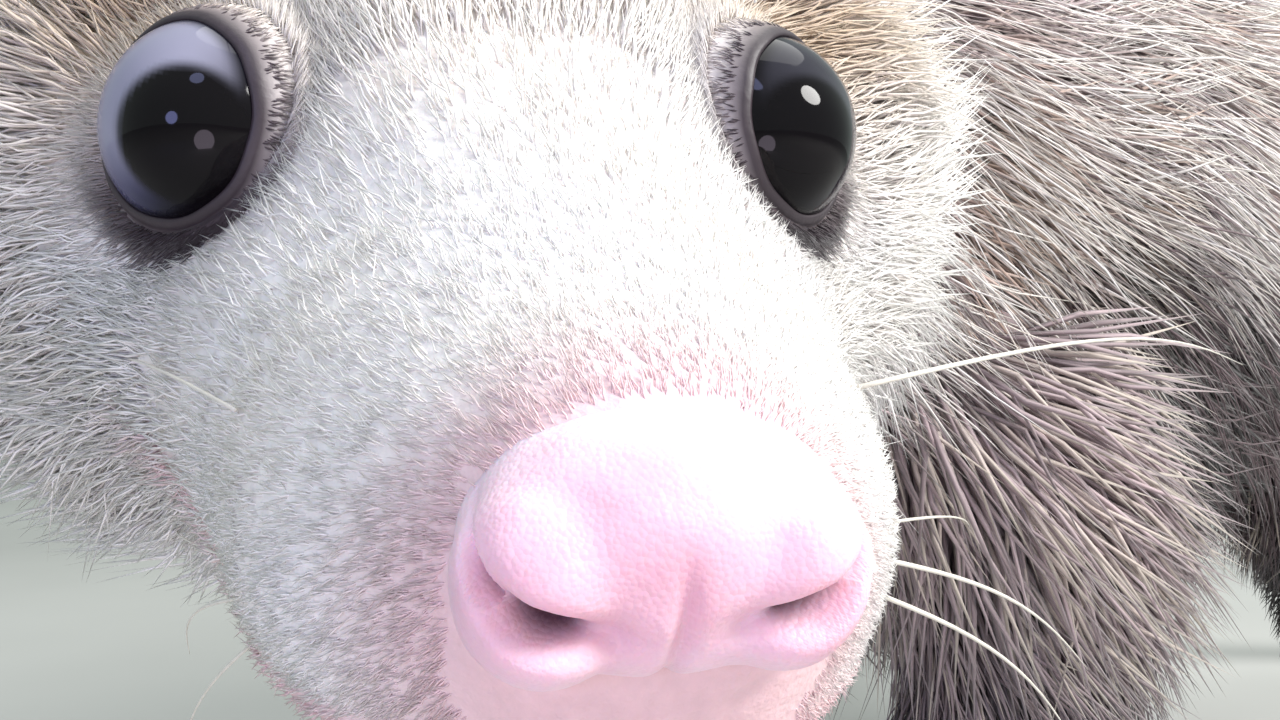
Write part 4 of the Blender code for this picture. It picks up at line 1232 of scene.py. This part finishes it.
def sow_foot(foot, front, count, draw):
    """Roots of the close hair on top of a foot: their places, outward and lying directions and sizes."""
    points, normals, areas = foot
    hairy = smooth_step(front - 6, front + 6, points[:, 1]) * smooth_step(2.5, 5, points[:, 2])
    hairy = hairy * smooth_step(-0.1, 0.35, normals[:, 2] + 0.04 * points[:, 2])
    weight = areas * hairy
    chosen = draw.choice(len(weight), count, p=weight / weight.sum())
    normal = normals[chosen]
    ahead = np.tile((0.0, -1.0, -0.15), (count, 1))
    lie = unit(ahead - normal * dot(ahead, normal)[:, None])
    size = np.interp(points[chosen, 1], (front, front + 14), (0.075, 0.15))
    jitter = draw.uniform(-0.3, 0.3, (count, 3))
    return points[chosen] + jitter - normal * dot(jitter, normal)[:, None], normal, lie, size


def make_limb_coat(number, name, rows, side, step, foot, count, seed):
    """Long hair over the shoulder or thigh that shortens to close black fur down to the toes."""
    draw = np.random.default_rng(seed)
    surface = limb_surface(rows, side, step)

    def thickening(_, place):
        return 0.4 + 0.16 * place

    place, angle = sow(surface, (0.2, LIMB_END + 0.05), (0, 2 * math.pi), thickening, count, draw)
    root, normal, course, _ = surface_frame(surface, place, angle)
    size = np.interp(place, (0.2, 1.2, 2.2, 3.0, 4.0, 5.3), (1.0, 0.9, 0.55, 0.4, 0.28, 0.17))
    back = np.tile((0.0, 1.0, 0.0), (count, 1))
    lie = combed(normal, course, back, np.interp(place, (0, 2, 4), (0.5, 0.3, 0.12)))
    sown = sow_foot(foot, toe_front(name, rows, step), FOOT_TUFTS, draw)
    spots = np.concatenate((limb_spots(number, place, angle), foot_spots(number, sown[0])))
    limb = (root, normal, lie, size)
    root, normal, lie, size = (np.concatenate(pair) for pair in zip(limb, sown))
    count = len(root)
    swirl = 0.3 * drift(root, 26, 65) + draw.normal(0, 0.18, count)
    lie = unit(lie + np.cross(normal, lie) * swirl[:, None])
    length = LIMB_FUR_LENGTH * size * draw.uniform(0.7, 1.2, count)
    lift = np.radians(draw.uniform(18, 38, count))
    tone = limb_colours(root) * draw.uniform(0.7, 1.5, count)[:, None]
    pale = draw.random(count) < 0.35 * smooth_step(75, 110, root[:, 2])
    tip = blend(tone * 1.4, CREAM, pale * 0.8)
    width = (0.22 + 0.75 * size) * draw.uniform(0.8, 1.2, count)
    return grow(
        f"{name}_coat", root, normal, lie, length, width, (lift, lift * 0.3), (tone, tip), spots,
        bow=length * draw.normal(0, 0.05, count),
    )


def make_tail_coat(name, count, bristles, seed):
    """Fur of the tail's root and the sparse bristles between its scales."""
    draw = np.random.default_rng(seed)

    def thinning(_, place):
        return 1.05 - smooth_step(23.5, FUR_END, place)

    place, angle = sow(spine_surface, (23.2, FUR_END), (0, 2 * math.pi), thinning, count, draw)
    size = np.interp(place, (23.2, FUR_END), (1.0, 0.25))
    more = draw.uniform(FUR_END - 0.6, TAIL_TIP - 0.3, bristles)
    place = np.concatenate((place, more))
    angle = np.concatenate((angle, draw.uniform(0, 2 * math.pi, bristles)))
    size = np.concatenate((size, np.full(bristles, 0.13)))
    count = len(place)
    root, normal, course, _ = surface_frame(spine_surface, place, angle)
    lie = unit(course + np.cross(normal, course) * draw.normal(0, 0.15, count)[:, None])
    tone = blend(np.tile(np.array(ASH), (count, 1)), BROWN, smooth_step(24, 25.6, place))
    tone = blend(tone, BRISTLE, smooth_step(26.5, 27.5, place))
    tone *= draw.uniform(0.6, 1.3, count)[:, None]
    lift = np.radians(draw.uniform(12, 28, count))
    length = TAIL_FUR_LENGTH * size * draw.uniform(0.7, 1.2, count)
    return grow(
        name, root, normal, lie, length, np.maximum(0.9 * size, 0.14), (lift, lift * 0.3), (tone, tone * 1.2),
        spine_spots(place, angle),
    )


def make_ear_coat(name, count, seed):
    """Fine short hair on both faces of the ears, thickest at their roots."""
    draw = np.random.default_rng(seed)
    parts = []
    for number, side in enumerate((-1, 1)):
        across = draw.uniform(-0.93, 0.93, count)
        height = EAR_SUNK + 0.02 + 0.8 * draw.random(count) ** 2.2
        nudge = 0.01
        here = ear_sheet(side, across, height)
        up = unit(ear_sheet(side, across, height + nudge) - here)
        normal = unit(np.cross(ear_sheet(side, across + nudge, height) - here, up))
        normal *= draw.choice((-1.0, 1.0), count)[:, None]
        lie = unit(up + np.cross(normal, up) * draw.normal(0, 0.35, count)[:, None])
        parts.append((here + normal * EAR_WALL * 0.4, normal, lie, height, ear_spots(number, across, height)))
    root, normal, lie, height, spots = (np.concatenate(rows) for rows in zip(*parts))
    total = len(root)
    size = np.interp(height, (0.16, 0.35, 1.0), (1.0, 0.35, 0.14))
    lift = np.radians(draw.uniform(16, 40, total))
    tone = blend(np.tile(np.array(SLATE) * 1.6, (total, 1)), ASH, 1 - smooth_step(0.17, 0.34, height))
    length = EAR_FUR_LENGTH * size * draw.uniform(0.6, 1.2, total)
    return grow(
        name, root, normal, lie, length, 0.12 + 0.2 * size, (lift, lift * 0.3), (tone, tone * 1.3), spots,
    )


# Eyes, lids, nose, claws and whiskers

def make_eye(side, word):
    """An eyeball: dark iris and pupil, a grey-lilac rim at its outer corner that is partly a painted
    reflection and elsewhere lost under painted shade, and a slightly bulging front.
    """
    eye = ball(f"eyeball_{word}", eye_centre(side), (EYE_RADIUS,) * 3, 96, 72)
    points = design(read_points(eye)) - eye_centre(side)
    outward = unit(points)
    bulge = 0.3 * smooth_step(0.72, 0.98, outward @ gaze_axis(side))
    write_points(eye, world(points + gaze_axis(side) * bulge[:, None] + eye_centre(side)))
    off_gaze = np.arccos(np.clip(outward @ gaze_axis(side), -1, 1))
    rim = unit(outward - (outward @ gaze_axis(side))[:, None] * gaze_axis(side))
    outer = unit(np.array((0.0, side * 0.8, 0.6)) @ HEAD_AXES)
    tone = np.tile(np.array(EYE_RIM_AND_REFLECTION), (len(points), 1))
    # Painted reflection: the rim turns blue on the lower half of the ball.
    tone = blend(tone, EYE_BLUE_REFLECTION, smooth_step(0.1, -0.5, outward @ HEAD_AXES[2]))
    # Painted shade: the rim is darkened away from the outer corner, and on the left eye almost everywhere.
    least, most = RIM_PAINTED_SHADE[side]
    tone = blend(tone, EYE_DARK, least + (most - least) * (1 - smooth_step(-0.5, 0.7, rim @ outer)))
    tone = blend(tone, EYE_DARK, 1 - smooth_step(GAZE_RADIUS - 0.06, GAZE_RADIUS + 0.08, off_gaze))
    past, _ = eye_edge(points + eye_centre(side))
    # Painted shade: the ball darkens just inside the lids' edge.
    colour_in(eye, blend(tone, EYE_DARK, 0.9 * smooth_step(-0.16, 0, past)))
    return eye


def eye_frame(side):
    """The directions across and up an eye's opening."""
    across = unit(np.cross(eye_axis(side), HEAD_AXES[2]))
    return across, np.cross(across, eye_axis(side))


def make_lid(side, word):
    """The lids as one sheet of dark-edged skin that lies on the ball and runs back under the face's fur."""
    axis = eye_axis(side)
    across, tall = eye_frame(side)
    turns = around(120)
    outward = across * np.cos(turns)[:, None] + tall * np.sin(turns)[:, None]
    uneven = 0.018 * np.cos(turns * 2 + side * 0.6) + 0.006 * np.sin(turns * 9)
    rings = np.empty((len(turns), len(LID_SHAPE), 3))
    for k, (past, over) in enumerate(LID_SHAPE):
        angle = (OPENING_EDGE + past + uneven)[:, None]
        away = axis * np.cos(angle) + outward * np.sin(angle)
        rings[:, k] = eye_centre(side) + away * (EYE_RADIUS + over)
    count, sides, _ = rings.shape
    k, j = np.meshgrid(np.arange(count), np.arange(sides), indexing="ij")
    here, beside = k * sides + j, k * sides + (j + 1) % sides
    ahead, ahead_beside = (k + 1) % count * sides + j, (k + 1) % count * sides + (j + 1) % sides
    quads = np.stack((here, beside, ahead_beside, ahead), -1).reshape(-1, 4)
    lid = mesh_piece(f"lid_{word}", rings.reshape(-1, 3), quads, np.empty((0, 3), dtype=int))
    colour_in(lid, face_colours(rings.reshape(-1, 3)))
    face_outwards(lid)
    return lid


def make_lid_coat(name, count, seed):
    """Very short hair on the lids, which lies away from each opening and is longer further back."""
    draw = np.random.default_rng(seed)
    parts = []
    for number, side in enumerate((-1, 1)):
        across, tall = eye_frame(side)
        turn = draw.uniform(0, 2 * math.pi, count)
        past = 0.1 + 0.75 * draw.random(count) ** 1.2
        outward = across * np.cos(turn)[:, None] + tall * np.sin(turn)[:, None]
        angle = (OPENING_EDGE + past)[:, None]
        normal = eye_axis(side) * np.cos(angle) + outward * np.sin(angle)
        lie = outward * np.cos(angle) - eye_axis(side) * np.sin(angle)
        over = np.interp(past, (0.08, 0.2, 0.4, 0.7), (0.46, 0.58, 0.7, 0.8))
        root = eye_centre(side) + normal * (EYE_RADIUS + over)[:, None]
        lie = unit(lie + np.cross(normal, lie) * draw.normal(0, 0.25, count)[:, None])
        parts.append((root, normal, lie, past, lid_spots(number, past, turn)))
    root, normal, lie, past, spots = (np.concatenate(rows) for rows in zip(*parts))
    total = len(root)
    length = (0.8 + 4.0 * past) * draw.uniform(0.7, 1.2, total)
    lift = np.radians(draw.uniform(14, 30, total))
    tone = face_colours(root) * draw.uniform(0.86, 1.08, total)[:, None]
    return grow(
        name, root, normal, lie, length, np.full(total, LID_FUR_WIDTH), (lift, lift * 0.4),
        (tone * 1.05, tone * 1.3), spots,
    )


def make_nose():
    """The bare nose: a pad and two wings melted together, comma-shaped nostrils and a groove between."""
    nose = ball("nose", head_point(NOSE_PLACE), NOSE_SIZE, 64, 40)
    wings = []
    for side in (-1, 1):
        centre = head_point((WING_PLACE[0], side * WING_PLACE[1], WING_PLACE[2]))
        wings.append(ball("wing", centre, WING_SIZE, 48, 32))
    join_solids(nose, wings)
    apply_modifier(nose, "REMESH", mode="VOXEL", voxel_size=NOSE_GRAIN * MM)
    apply_modifier(nose, "SMOOTH", factor=0.7, iterations=90)
    points = head_local(design(read_points(nose)))
    inward = unit(points - np.array((40.0, 0.0, -12.0)))
    dark = np.zeros(len(points))
    for side in (-1, 1):
        away = points - np.array((NOSTRIL_PLACE[0], side * NOSTRIL_PLACE[1], NOSTRIL_PLACE[2]))
        along = away[:, 1] * side * 0.77 - away[:, 0] * 0.64
        curl = away[:, 2] - 0.25 * along - 0.22 * np.maximum(along, 0) ** 1.5
        pit = np.exp(-((along / 2.0) ** 2) - (curl / 0.95) ** 2)
        tail = 0.6 * np.exp(-(((along - 2.4) / 1.5) ** 2) - (curl / 0.6) ** 2)
        hollow = np.maximum(pit, tail)
        rim = np.exp(-((along / 3.4) ** 2) - (curl / 2.2) ** 2) - pit
        points -= inward * (3.2 * hollow - 0.3 * rim)[:, None]
        dark = np.maximum(dark, hollow)
    groove = np.exp(-((points[:, 1] / 0.5) ** 2)) * smooth_step(-8, -13, points[:, 2])
    points -= inward * (0.5 * groove)[:, None]
    placed = head_point(points)
    points -= inward * (0.07 * drift(placed, 3.2, 70) + 0.03 * drift(placed, 1.5, 71))[:, None]
    write_points(nose, world(head_point(points)))
    tone = np.tile(np.array(NOSE_PINK), (len(points), 1))
    red = np.exp(-((points[:, 1] / 5.5) ** 2) - ((points[:, 2] + 9.5) / 4.0) ** 2)
    tone = blend(tone, NOSE_RED, 0.6 * red + 0.2 * groove + 0.2 * drift(placed, 6, 72))
    forward, up = points[:, 0], points[:, 2]
    tone = blend(tone, WHITE, 0.35 * smooth_step(-7, -4, up) + 0.3 * smooth_step(50, 46, forward))
    # Painted light: the underside of the nose, which lies in shadow, is paled towards white.
    tone = blend(tone, WHITE, 0.35 * smooth_step(-13, -17, up))
    # Painted shade: the nostrils' hollows are coloured near-black.
    colour_in(nose, blend(tone, NOSTRIL_SHADE, 0.9 * smooth_step(0.3, 0.85, dark)))
    return nose


def make_claws(name, rows, side, step):
    """The claws of one foot, each a curved cone, joined in one piece."""
    x, y, half_width, half_length, toes = foot_plan(name, rows, step)
    sides, count = 10, 9
    points, quads, triangles = [], [], []
    start = 0
    upright = np.array((0, 0, 1))
    for root, turn, length, _, claw in toe_roots(side, x, y, half_width, half_length, toes):
        if not claw:
            continue
        forward = np.array((math.sin(turn), -math.cos(turn), 0.0))
        across = np.array((math.cos(turn), math.sin(turn), 0.0))
        for k in range(count):
            share = k / (count - 1)
            middle = root + forward * (length * 0.9 + share * claw * 1.02)
            middle[2] = 3.3 - 2.3 * share**2 + 0.5 * math.sin(share * math.pi)
            half = 1.15 * (1 - share**1.6) + 0.03
            for a in around(sides):
                points.append(middle + across * math.cos(a) * half * 0.75 + upright * math.sin(a) * half)
        points.append(root + forward * length * 0.9 + np.array((0, 0, 3.3)))
        points.append(root + forward * (length * 0.9 + claw * 1.06) + np.array((0, 0, 0.9)))
        quads.append(tube_faces(count, sides, start)[:, ::-1])
        ring = np.arange(sides)
        end = start + (count - 1) * sides
        first, last = start + count * sides, start + count * sides + 1
        triangles.append(np.stack((np.full(sides, first), start + ring, start + (ring + 1) % sides), -1))
        triangles.append(np.stack((np.full(sides, last), end + (ring + 1) % sides, end + ring), -1))
        start += count * sides + 2
    name = "claws_" + name.replace("leg", "foot")
    return mesh_piece(name, np.array(points), np.concatenate(quads), np.concatenate(triangles))


# Whiskers of a side: the root's forward, left and up places, how far the tip lies on from it, and the
# half width.
WHISKERS = (
    ((26.0, 17.8, -12.0), (-30, 50, -11), 0.15),
    ((34.0, 15.6, -19.0), (-23, 31, -23), 0.15),
    ((32.0, 16.4, -22.0), (-22, 31, -30), 0.15),
    ((27.5, 17.4, -20.5), (-36, 28, -20), 0.11),
    ((4.0, 17.0, 8.6), (-24, 10, 13), 0.09),
    ((-2.0, 19.0, 10.0), (-26, 9, 14), 0.09),
    ((-14.0, 34.0, -14.0), (-36, 22, -8), 0.11),
    ((-18.0, 36.0, -18.0), (-34, 20, -12), 0.10),
)
WHISKER_SWEPT_BACK = (1.3, 0.24, 0.9)


def make_whiskers(side, word, seed):
    """The whiskers of one side. Those of the animal's right lie swept back along its cheek."""
    draw = np.random.default_rng(seed)
    shares = np.linspace(0, 1, 16)
    turns = around(6)
    points, quads, triangles = [], [], []
    start = 0
    for place, reach, thick in WHISKERS:
        root = head_point((place[0], side * place[1], place[2]))
        reach = np.array(reach) * draw.uniform(0.95, 1.05, 3)
        if side < 0:
            reach, thick = reach * WHISKER_SWEPT_BACK, thick * 0.6
        tip = root + np.array((reach[0], side * reach[1], reach[2])) @ HEAD_AXES
        bow = np.array((0, side * draw.uniform(0.01, 0.05), draw.uniform(0.01, 0.05))) @ HEAD_AXES
        bow = np.multiply.outer(np.sin(shares * math.pi), bow * np.linalg.norm(reach))
        line = root + np.multiply.outer(shares, tip - root) + bow
        course = unit(np.gradient(line, axis=0))
        across = unit(np.cross(course, (0.1, 0.2, 1.0)))
        over = np.cross(across, course)
        half = thick * (1 - shares**1.6) + 0.02
        ring = (
            line[:, None]
            + across[:, None] * (np.cos(turns)[None] * half[:, None])[..., None]
            + over[:, None] * (np.sin(turns)[None] * half[:, None])[..., None]
        )
        points.append(ring.reshape(-1, 3))
        quads.append(tube_faces(len(shares), len(turns), start))
        k = np.arange(1, len(turns) - 1)
        triangles.append(np.stack((np.full_like(k, start), start + k + 1, start + k), -1))
        end = start + (len(shares) - 1) * len(turns)
        triangles.append(np.stack((np.full_like(k, end), end + k, end + k + 1), -1))
        start += ring.shape[0] * ring.shape[1]
    whiskers = mesh_piece(
        f"whiskers_{word}", np.concatenate(points), np.concatenate(quads), np.concatenate(triangles),
    )
    face_outwards(whiskers)
    return whiskers


# Finishes

class Value:
    """A number that varies over a surface. Its operators add Math nodes."""

    def __init__(self, finish, socket):
        self.finish = finish
        self.socket = socket

    def maths(self, operation, first, second):
        return self.finish.node("ShaderNodeMath", {"operation": operation}, {0: first, 1: second})

    def __add__(self, other):
        return self.maths("ADD", self, other)

    def __radd__(self, other):
        return self.maths("ADD", other, self)

    def __sub__(self, other):
        return self.maths("SUBTRACT", self, other)

    def __rsub__(self, other):
        return self.maths("SUBTRACT", other, self)

    def __mul__(self, other):
        return self.maths("MULTIPLY", self, other)

    def __rmul__(self, other):
        return self.maths("MULTIPLY", other, self)


class Finish:
    """A material, with one method that adds any node to it."""

    def __init__(self, name, roughness, **constants):
        self.material = bpy.data.materials.new(name)
        self.material.use_nodes = True
        self.tree = self.material.node_tree
        self.shader = self.tree.nodes["Principled BSDF"]
        self.shader.inputs["Roughness"].default_value = roughness
        for key, value in constants.items():
            self.shader.inputs[key.replace("_", " ")].default_value = value

    def node(self, kind, settings=None, inputs=None, output=0):
        made = self.tree.nodes.new(kind)
        for key, value in (settings or {}).items():
            setattr(made, key, value)
        for key, value in (inputs or {}).items():
            if isinstance(value, Value):
                self.tree.links.new(value.socket, made.inputs[key])
            else:
                made.inputs[key].default_value = value
        return Value(self, made.outputs[output])

    def connect(self, key, value):
        self.tree.links.new(value.socket, self.shader.inputs[key])

    def place(self):
        return self.node("ShaderNodeTexCoord", output="Object")

    def noise(self, scale, detail=3.0):
        inputs = {"Vector": self.place(), "Scale": scale, "Detail": detail}
        return self.node("ShaderNodeTexNoise", None, inputs)

    def cells(self, feature, scale):
        inputs = {"Vector": self.place(), "Scale": scale}
        return self.node("ShaderNodeTexVoronoi", {"feature": feature}, inputs, output="Distance")

    def mix(self, first, second, factor, blend_type="MIX"):
        settings = {"data_type": "RGBA", "blend_type": blend_type}
        return self.node("ShaderNodeMix", settings, {0: factor, 6: first, 7: second}, output=2)

    def tone(self):
        return self.node("ShaderNodeVertexColor", {"layer_name": "tone"})

    def shaded(self, colour, noise, dark, light):
        """A colour made darker and lighter by a noise."""
        darker = self.mix(colour, (*dark, 1.0), 1.0, "MULTIPLY")
        lighter = self.mix(colour, (*light, 1.0), 1.0, "MULTIPLY")
        return self.mix(darker, lighter, noise)

    def bump(self, height, distance, strength):
        inputs = {"Height": height, "Distance": distance, "Strength": strength}
        return self.node("ShaderNodeBump", None, inputs)


def wear(piece, finish):
    piece.data.materials.clear()
    piece.data.materials.append(finish.material)


def hair_finish():
    """Every coat's hair, which takes its colour from root to tip from its mesh."""
    finish = Finish("hair", 0.6, Sheen_Weight=0.2, Sheen_Roughness=0.4, Specular_IOR_Level=0.35)
    colour = finish.shaded(finish.tone(), finish.noise(900, 2.0), (0.9, 0.89, 0.88), (1.05, 1.05, 1.05))
    finish.connect("Base Color", colour)
    return finish


def skin_finish():
    """Skin under the fur, with fine grain, bare on ears and feet, and in scales on the tail."""
    finish = Finish("skin", 0.58, Subsurface_Weight=0.08, Subsurface_Scale=0.002)
    grain = finish.noise(700, 4.0)
    pores = finish.noise(2600, 2.0)
    scaly = finish.node("ShaderNodeAttribute", {"attribute_name": "scales"}, output="Fac")
    cells = finish.cells("DISTANCE_TO_EDGE", 620.0)
    plates = finish.node("ShaderNodeMapRange", None, {0: cells, 1: 0.0, 2: 0.18})
    shade = finish.shaded(finish.tone(), grain, (0.8, 0.78, 0.78), (1.1, 1.08, 1.06))
    seams = (1.0 - plates) * scaly * 0.55
    finish.connect("Base Color", finish.mix(shade, (0.035, 0.028, 0.03, 1.0), seams))
    finish.connect("Normal", finish.bump(grain * 0.4 + pores * 0.3 + plates * scaly * 0.9, 0.0004, 0.7))
    return finish


def lid_finish():
    """Dry, finely wrinkled skin of the lids."""
    finish = Finish("lid_skin", 0.5)
    grain = finish.noise(1500, 3.0)
    finish.connect("Base Color", finish.shaded(finish.tone(), grain, (0.85, 0.83, 0.85), (1.1, 1.1, 1.1)))
    finish.connect("Normal", finish.bump(grain, 0.0001, 0.5))
    return finish


def nose_finish():
    """Moist pink skin in fine pebbles."""
    finish = Finish("nose_skin", 0.42, Subsurface_Weight=0.35, Subsurface_Scale=0.0025)
    pebbles = finish.cells("F1", 3800.0)
    blush = finish.noise(420, 3.0)
    finish.connect("Base Color", finish.shaded(finish.tone(), blush, (0.92, 0.87, 0.89), (1.08, 1.08, 1.08)))
    finish.connect("Roughness", 0.4 + 0.2 * blush)
    finish.connect("Normal", finish.bump(1.0 - pebbles, 0.00007, 0.6))
    return finish


def plain_finish(name, colour, roughness, scale):
    """One colour with a fine grain."""
    finish = Finish(name, roughness)
    noise = finish.noise(scale, 3.0)
    base = finish.mix((*colour, 1.0), tuple(0.7 * part for part in colour) + (1.0,), noise)
    finish.connect("Base Color", base)
    finish.connect("Normal", finish.bump(noise, 0.0001, 0.4))
    return finish


def eye_finish():
    """The wet front of an eyeball over its own colours."""
    finish = Finish("eye_glass", 0.05, IOR=1.24)
    finish.connect("Base Color", finish.tone())
    return finish


# Light, floor and camera

def place_camera():
    data = bpy.data.cameras.new("camera")
    data.lens = CAMERA_LENS
    data.sensor_width = SENSOR_WIDTH
    data.clip_start = 0.005
    camera = bpy.data.objects.new("camera", data)
    bpy.context.scene.collection.objects.link(camera)
    camera.location = world(CAMERA_PLACE)
    camera.rotation_mode = "QUATERNION"
    camera.rotation_quaternion = CAMERA_LOOK.to_track_quat("-Z", "Y")
    bpy.context.scene.camera = camera


def area_light(name, place, target, size, energy, colour):
    data = bpy.data.lights.new(name, "AREA")
    data.shape = "DISK"
    data.size = size
    data.energy = energy
    data.color = colour
    light = bpy.data.objects.new(name, data)
    bpy.context.scene.collection.objects.link(light)
    light.location = place
    light.rotation_mode = "QUATERNION"
    light.rotation_quaternion = (Vector(target) - Vector(place)).to_track_quat("-Z", "Y")


# Soft boxes, by how far they stand to the right of the face as the camera sees it, towards the camera and
# above it, in metres, then their width, power and colour.
LIGHTS = (
    ("key", 0.84, 0.30, 0.68, 0.45, 20.0, (1.0, 0.985, 0.965)),
    ("fill", -0.20, 0.40, 0.03, 0.09, 0.35, (0.42, 0.46, 1.0)),
    ("low", 0.02, 0.30, -0.10, 0.12, 0.22, (0.95, 0.8, 1.0)),
    ("glint", -0.04, 0.37, 0.47, 0.14, 0.5, (0.5, 0.55, 1.0)),
)


TOP_PLACE = (0.0, 0.1, 1.4)
TOP_TARGET = (0.0, 0.0, 0.1)
SKY_COLOUR = (0.77, 0.89, 0.84)
SKY_STRENGTH = 0.72
FLOOR_COLOUR = (0.50, 0.495, 0.485)
FLOOR_RADIUS = 6.0


def light_studio():
    """Soft boxes round the face, one over the back, a pale sky and a plain floor."""
    face = Vector(world(EYE_MIDDLE))
    look = CAMERA_LOOK.normalized()
    right = look.cross(Vector((0, 0, 1)))
    for name, aside, towards, above, size, power, colour in LIGHTS:
        place = face + right * aside - look * towards + Vector((0, 0, above))
        area_light(name, place, face, size, power, colour)
    area_light("top", TOP_PLACE, TOP_TARGET, 1.2, 10.0, (1.0, 0.99, 0.97))
    studio = bpy.data.worlds.new("studio")
    studio.use_nodes = True
    sky = studio.node_tree.nodes["Background"]
    sky.inputs["Color"].default_value = (*SKY_COLOUR, 1.0)
    sky.inputs["Strength"].default_value = SKY_STRENGTH
    bpy.context.scene.world = studio
    bpy.context.scene.view_settings.view_transform = "Standard"
    bpy.ops.object.select_all(action="DESELECT")
    bpy.ops.mesh.primitive_circle_add(vertices=96, radius=FLOOR_RADIUS, fill_type="NGON", location=(0, 0, 0))
    floor = bpy.context.object
    floor.name = "floor"
    wear(floor, plain_finish("floor", FLOOR_COLOUR, 0.85, 3.0))


FLESH = (
    "head", "ear_left", "ear_right", "neck", "torso", "foreleg_left", "foreleg_right", "hindleg_left",
    "hindleg_right", "forefoot_left", "forefoot_right", "hindfoot_left", "hindfoot_right", "tail_base",
    "tail_middle", "tail_tip",
)


def settle(piece, finish):
    wear(piece, finish)
    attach(piece, "root")


def main():
    place_camera()
    light_studio()
    hair, skin_cover, nose_cover = hair_finish(), skin_finish(), nose_finish()
    eye_cover, lid_cover = eye_finish(), lid_finish()
    horn = plain_finish("claw_horn", (0.70, 0.60, 0.50), 0.35, 500.0)
    bristle = plain_finish("whisker", (0.82, 0.77, 0.68), 0.4, 500.0)
    skin, foot_roots = make_skin()
    settle(skin, skin_cover)
    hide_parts(*FLESH)
    for side, word in ((1, "left"), (-1, "right")):
        eye = make_eye(side, word)
        settle(eye, eye_cover)
        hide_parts(f"eye_{word}")
        settle(make_lid(side, word), lid_cover)
        settle(make_whiskers(side, word, 40 + side), bristle)
    settle(make_nose(), nose_cover)
    for index, (name, places, count) in enumerate(FACE_COATS):
        settle(make_face_coat(name, places, count, 1 + index), hair)
    settle(make_lid_coat("lid_coat", LID_TUFTS, 9), hair)
    settle(make_ear_coat("ear_coat", EAR_TUFTS, 8), hair)
    for index, (name, count) in enumerate(UNDER_COATS):
        settle(make_under_coat(name, count, 4 + index), hair)
    for index, (name, count) in enumerate(GUARD_COATS):
        settle(make_guard_coat(name, count, 6 + index), hair)
    for number, (name, rows, side, step) in enumerate(limbs()):
        coat = make_limb_coat(number, name, rows, side, step, foot_roots[name], LIMB_TUFTS, 20 + number)
        settle(coat, hair)
        settle(make_claws(name, rows, side, step), horn)
    settle(make_tail_coat("tail_coat", TAIL_TUFTS, TAIL_BRISTLES, 30), hair)


main()
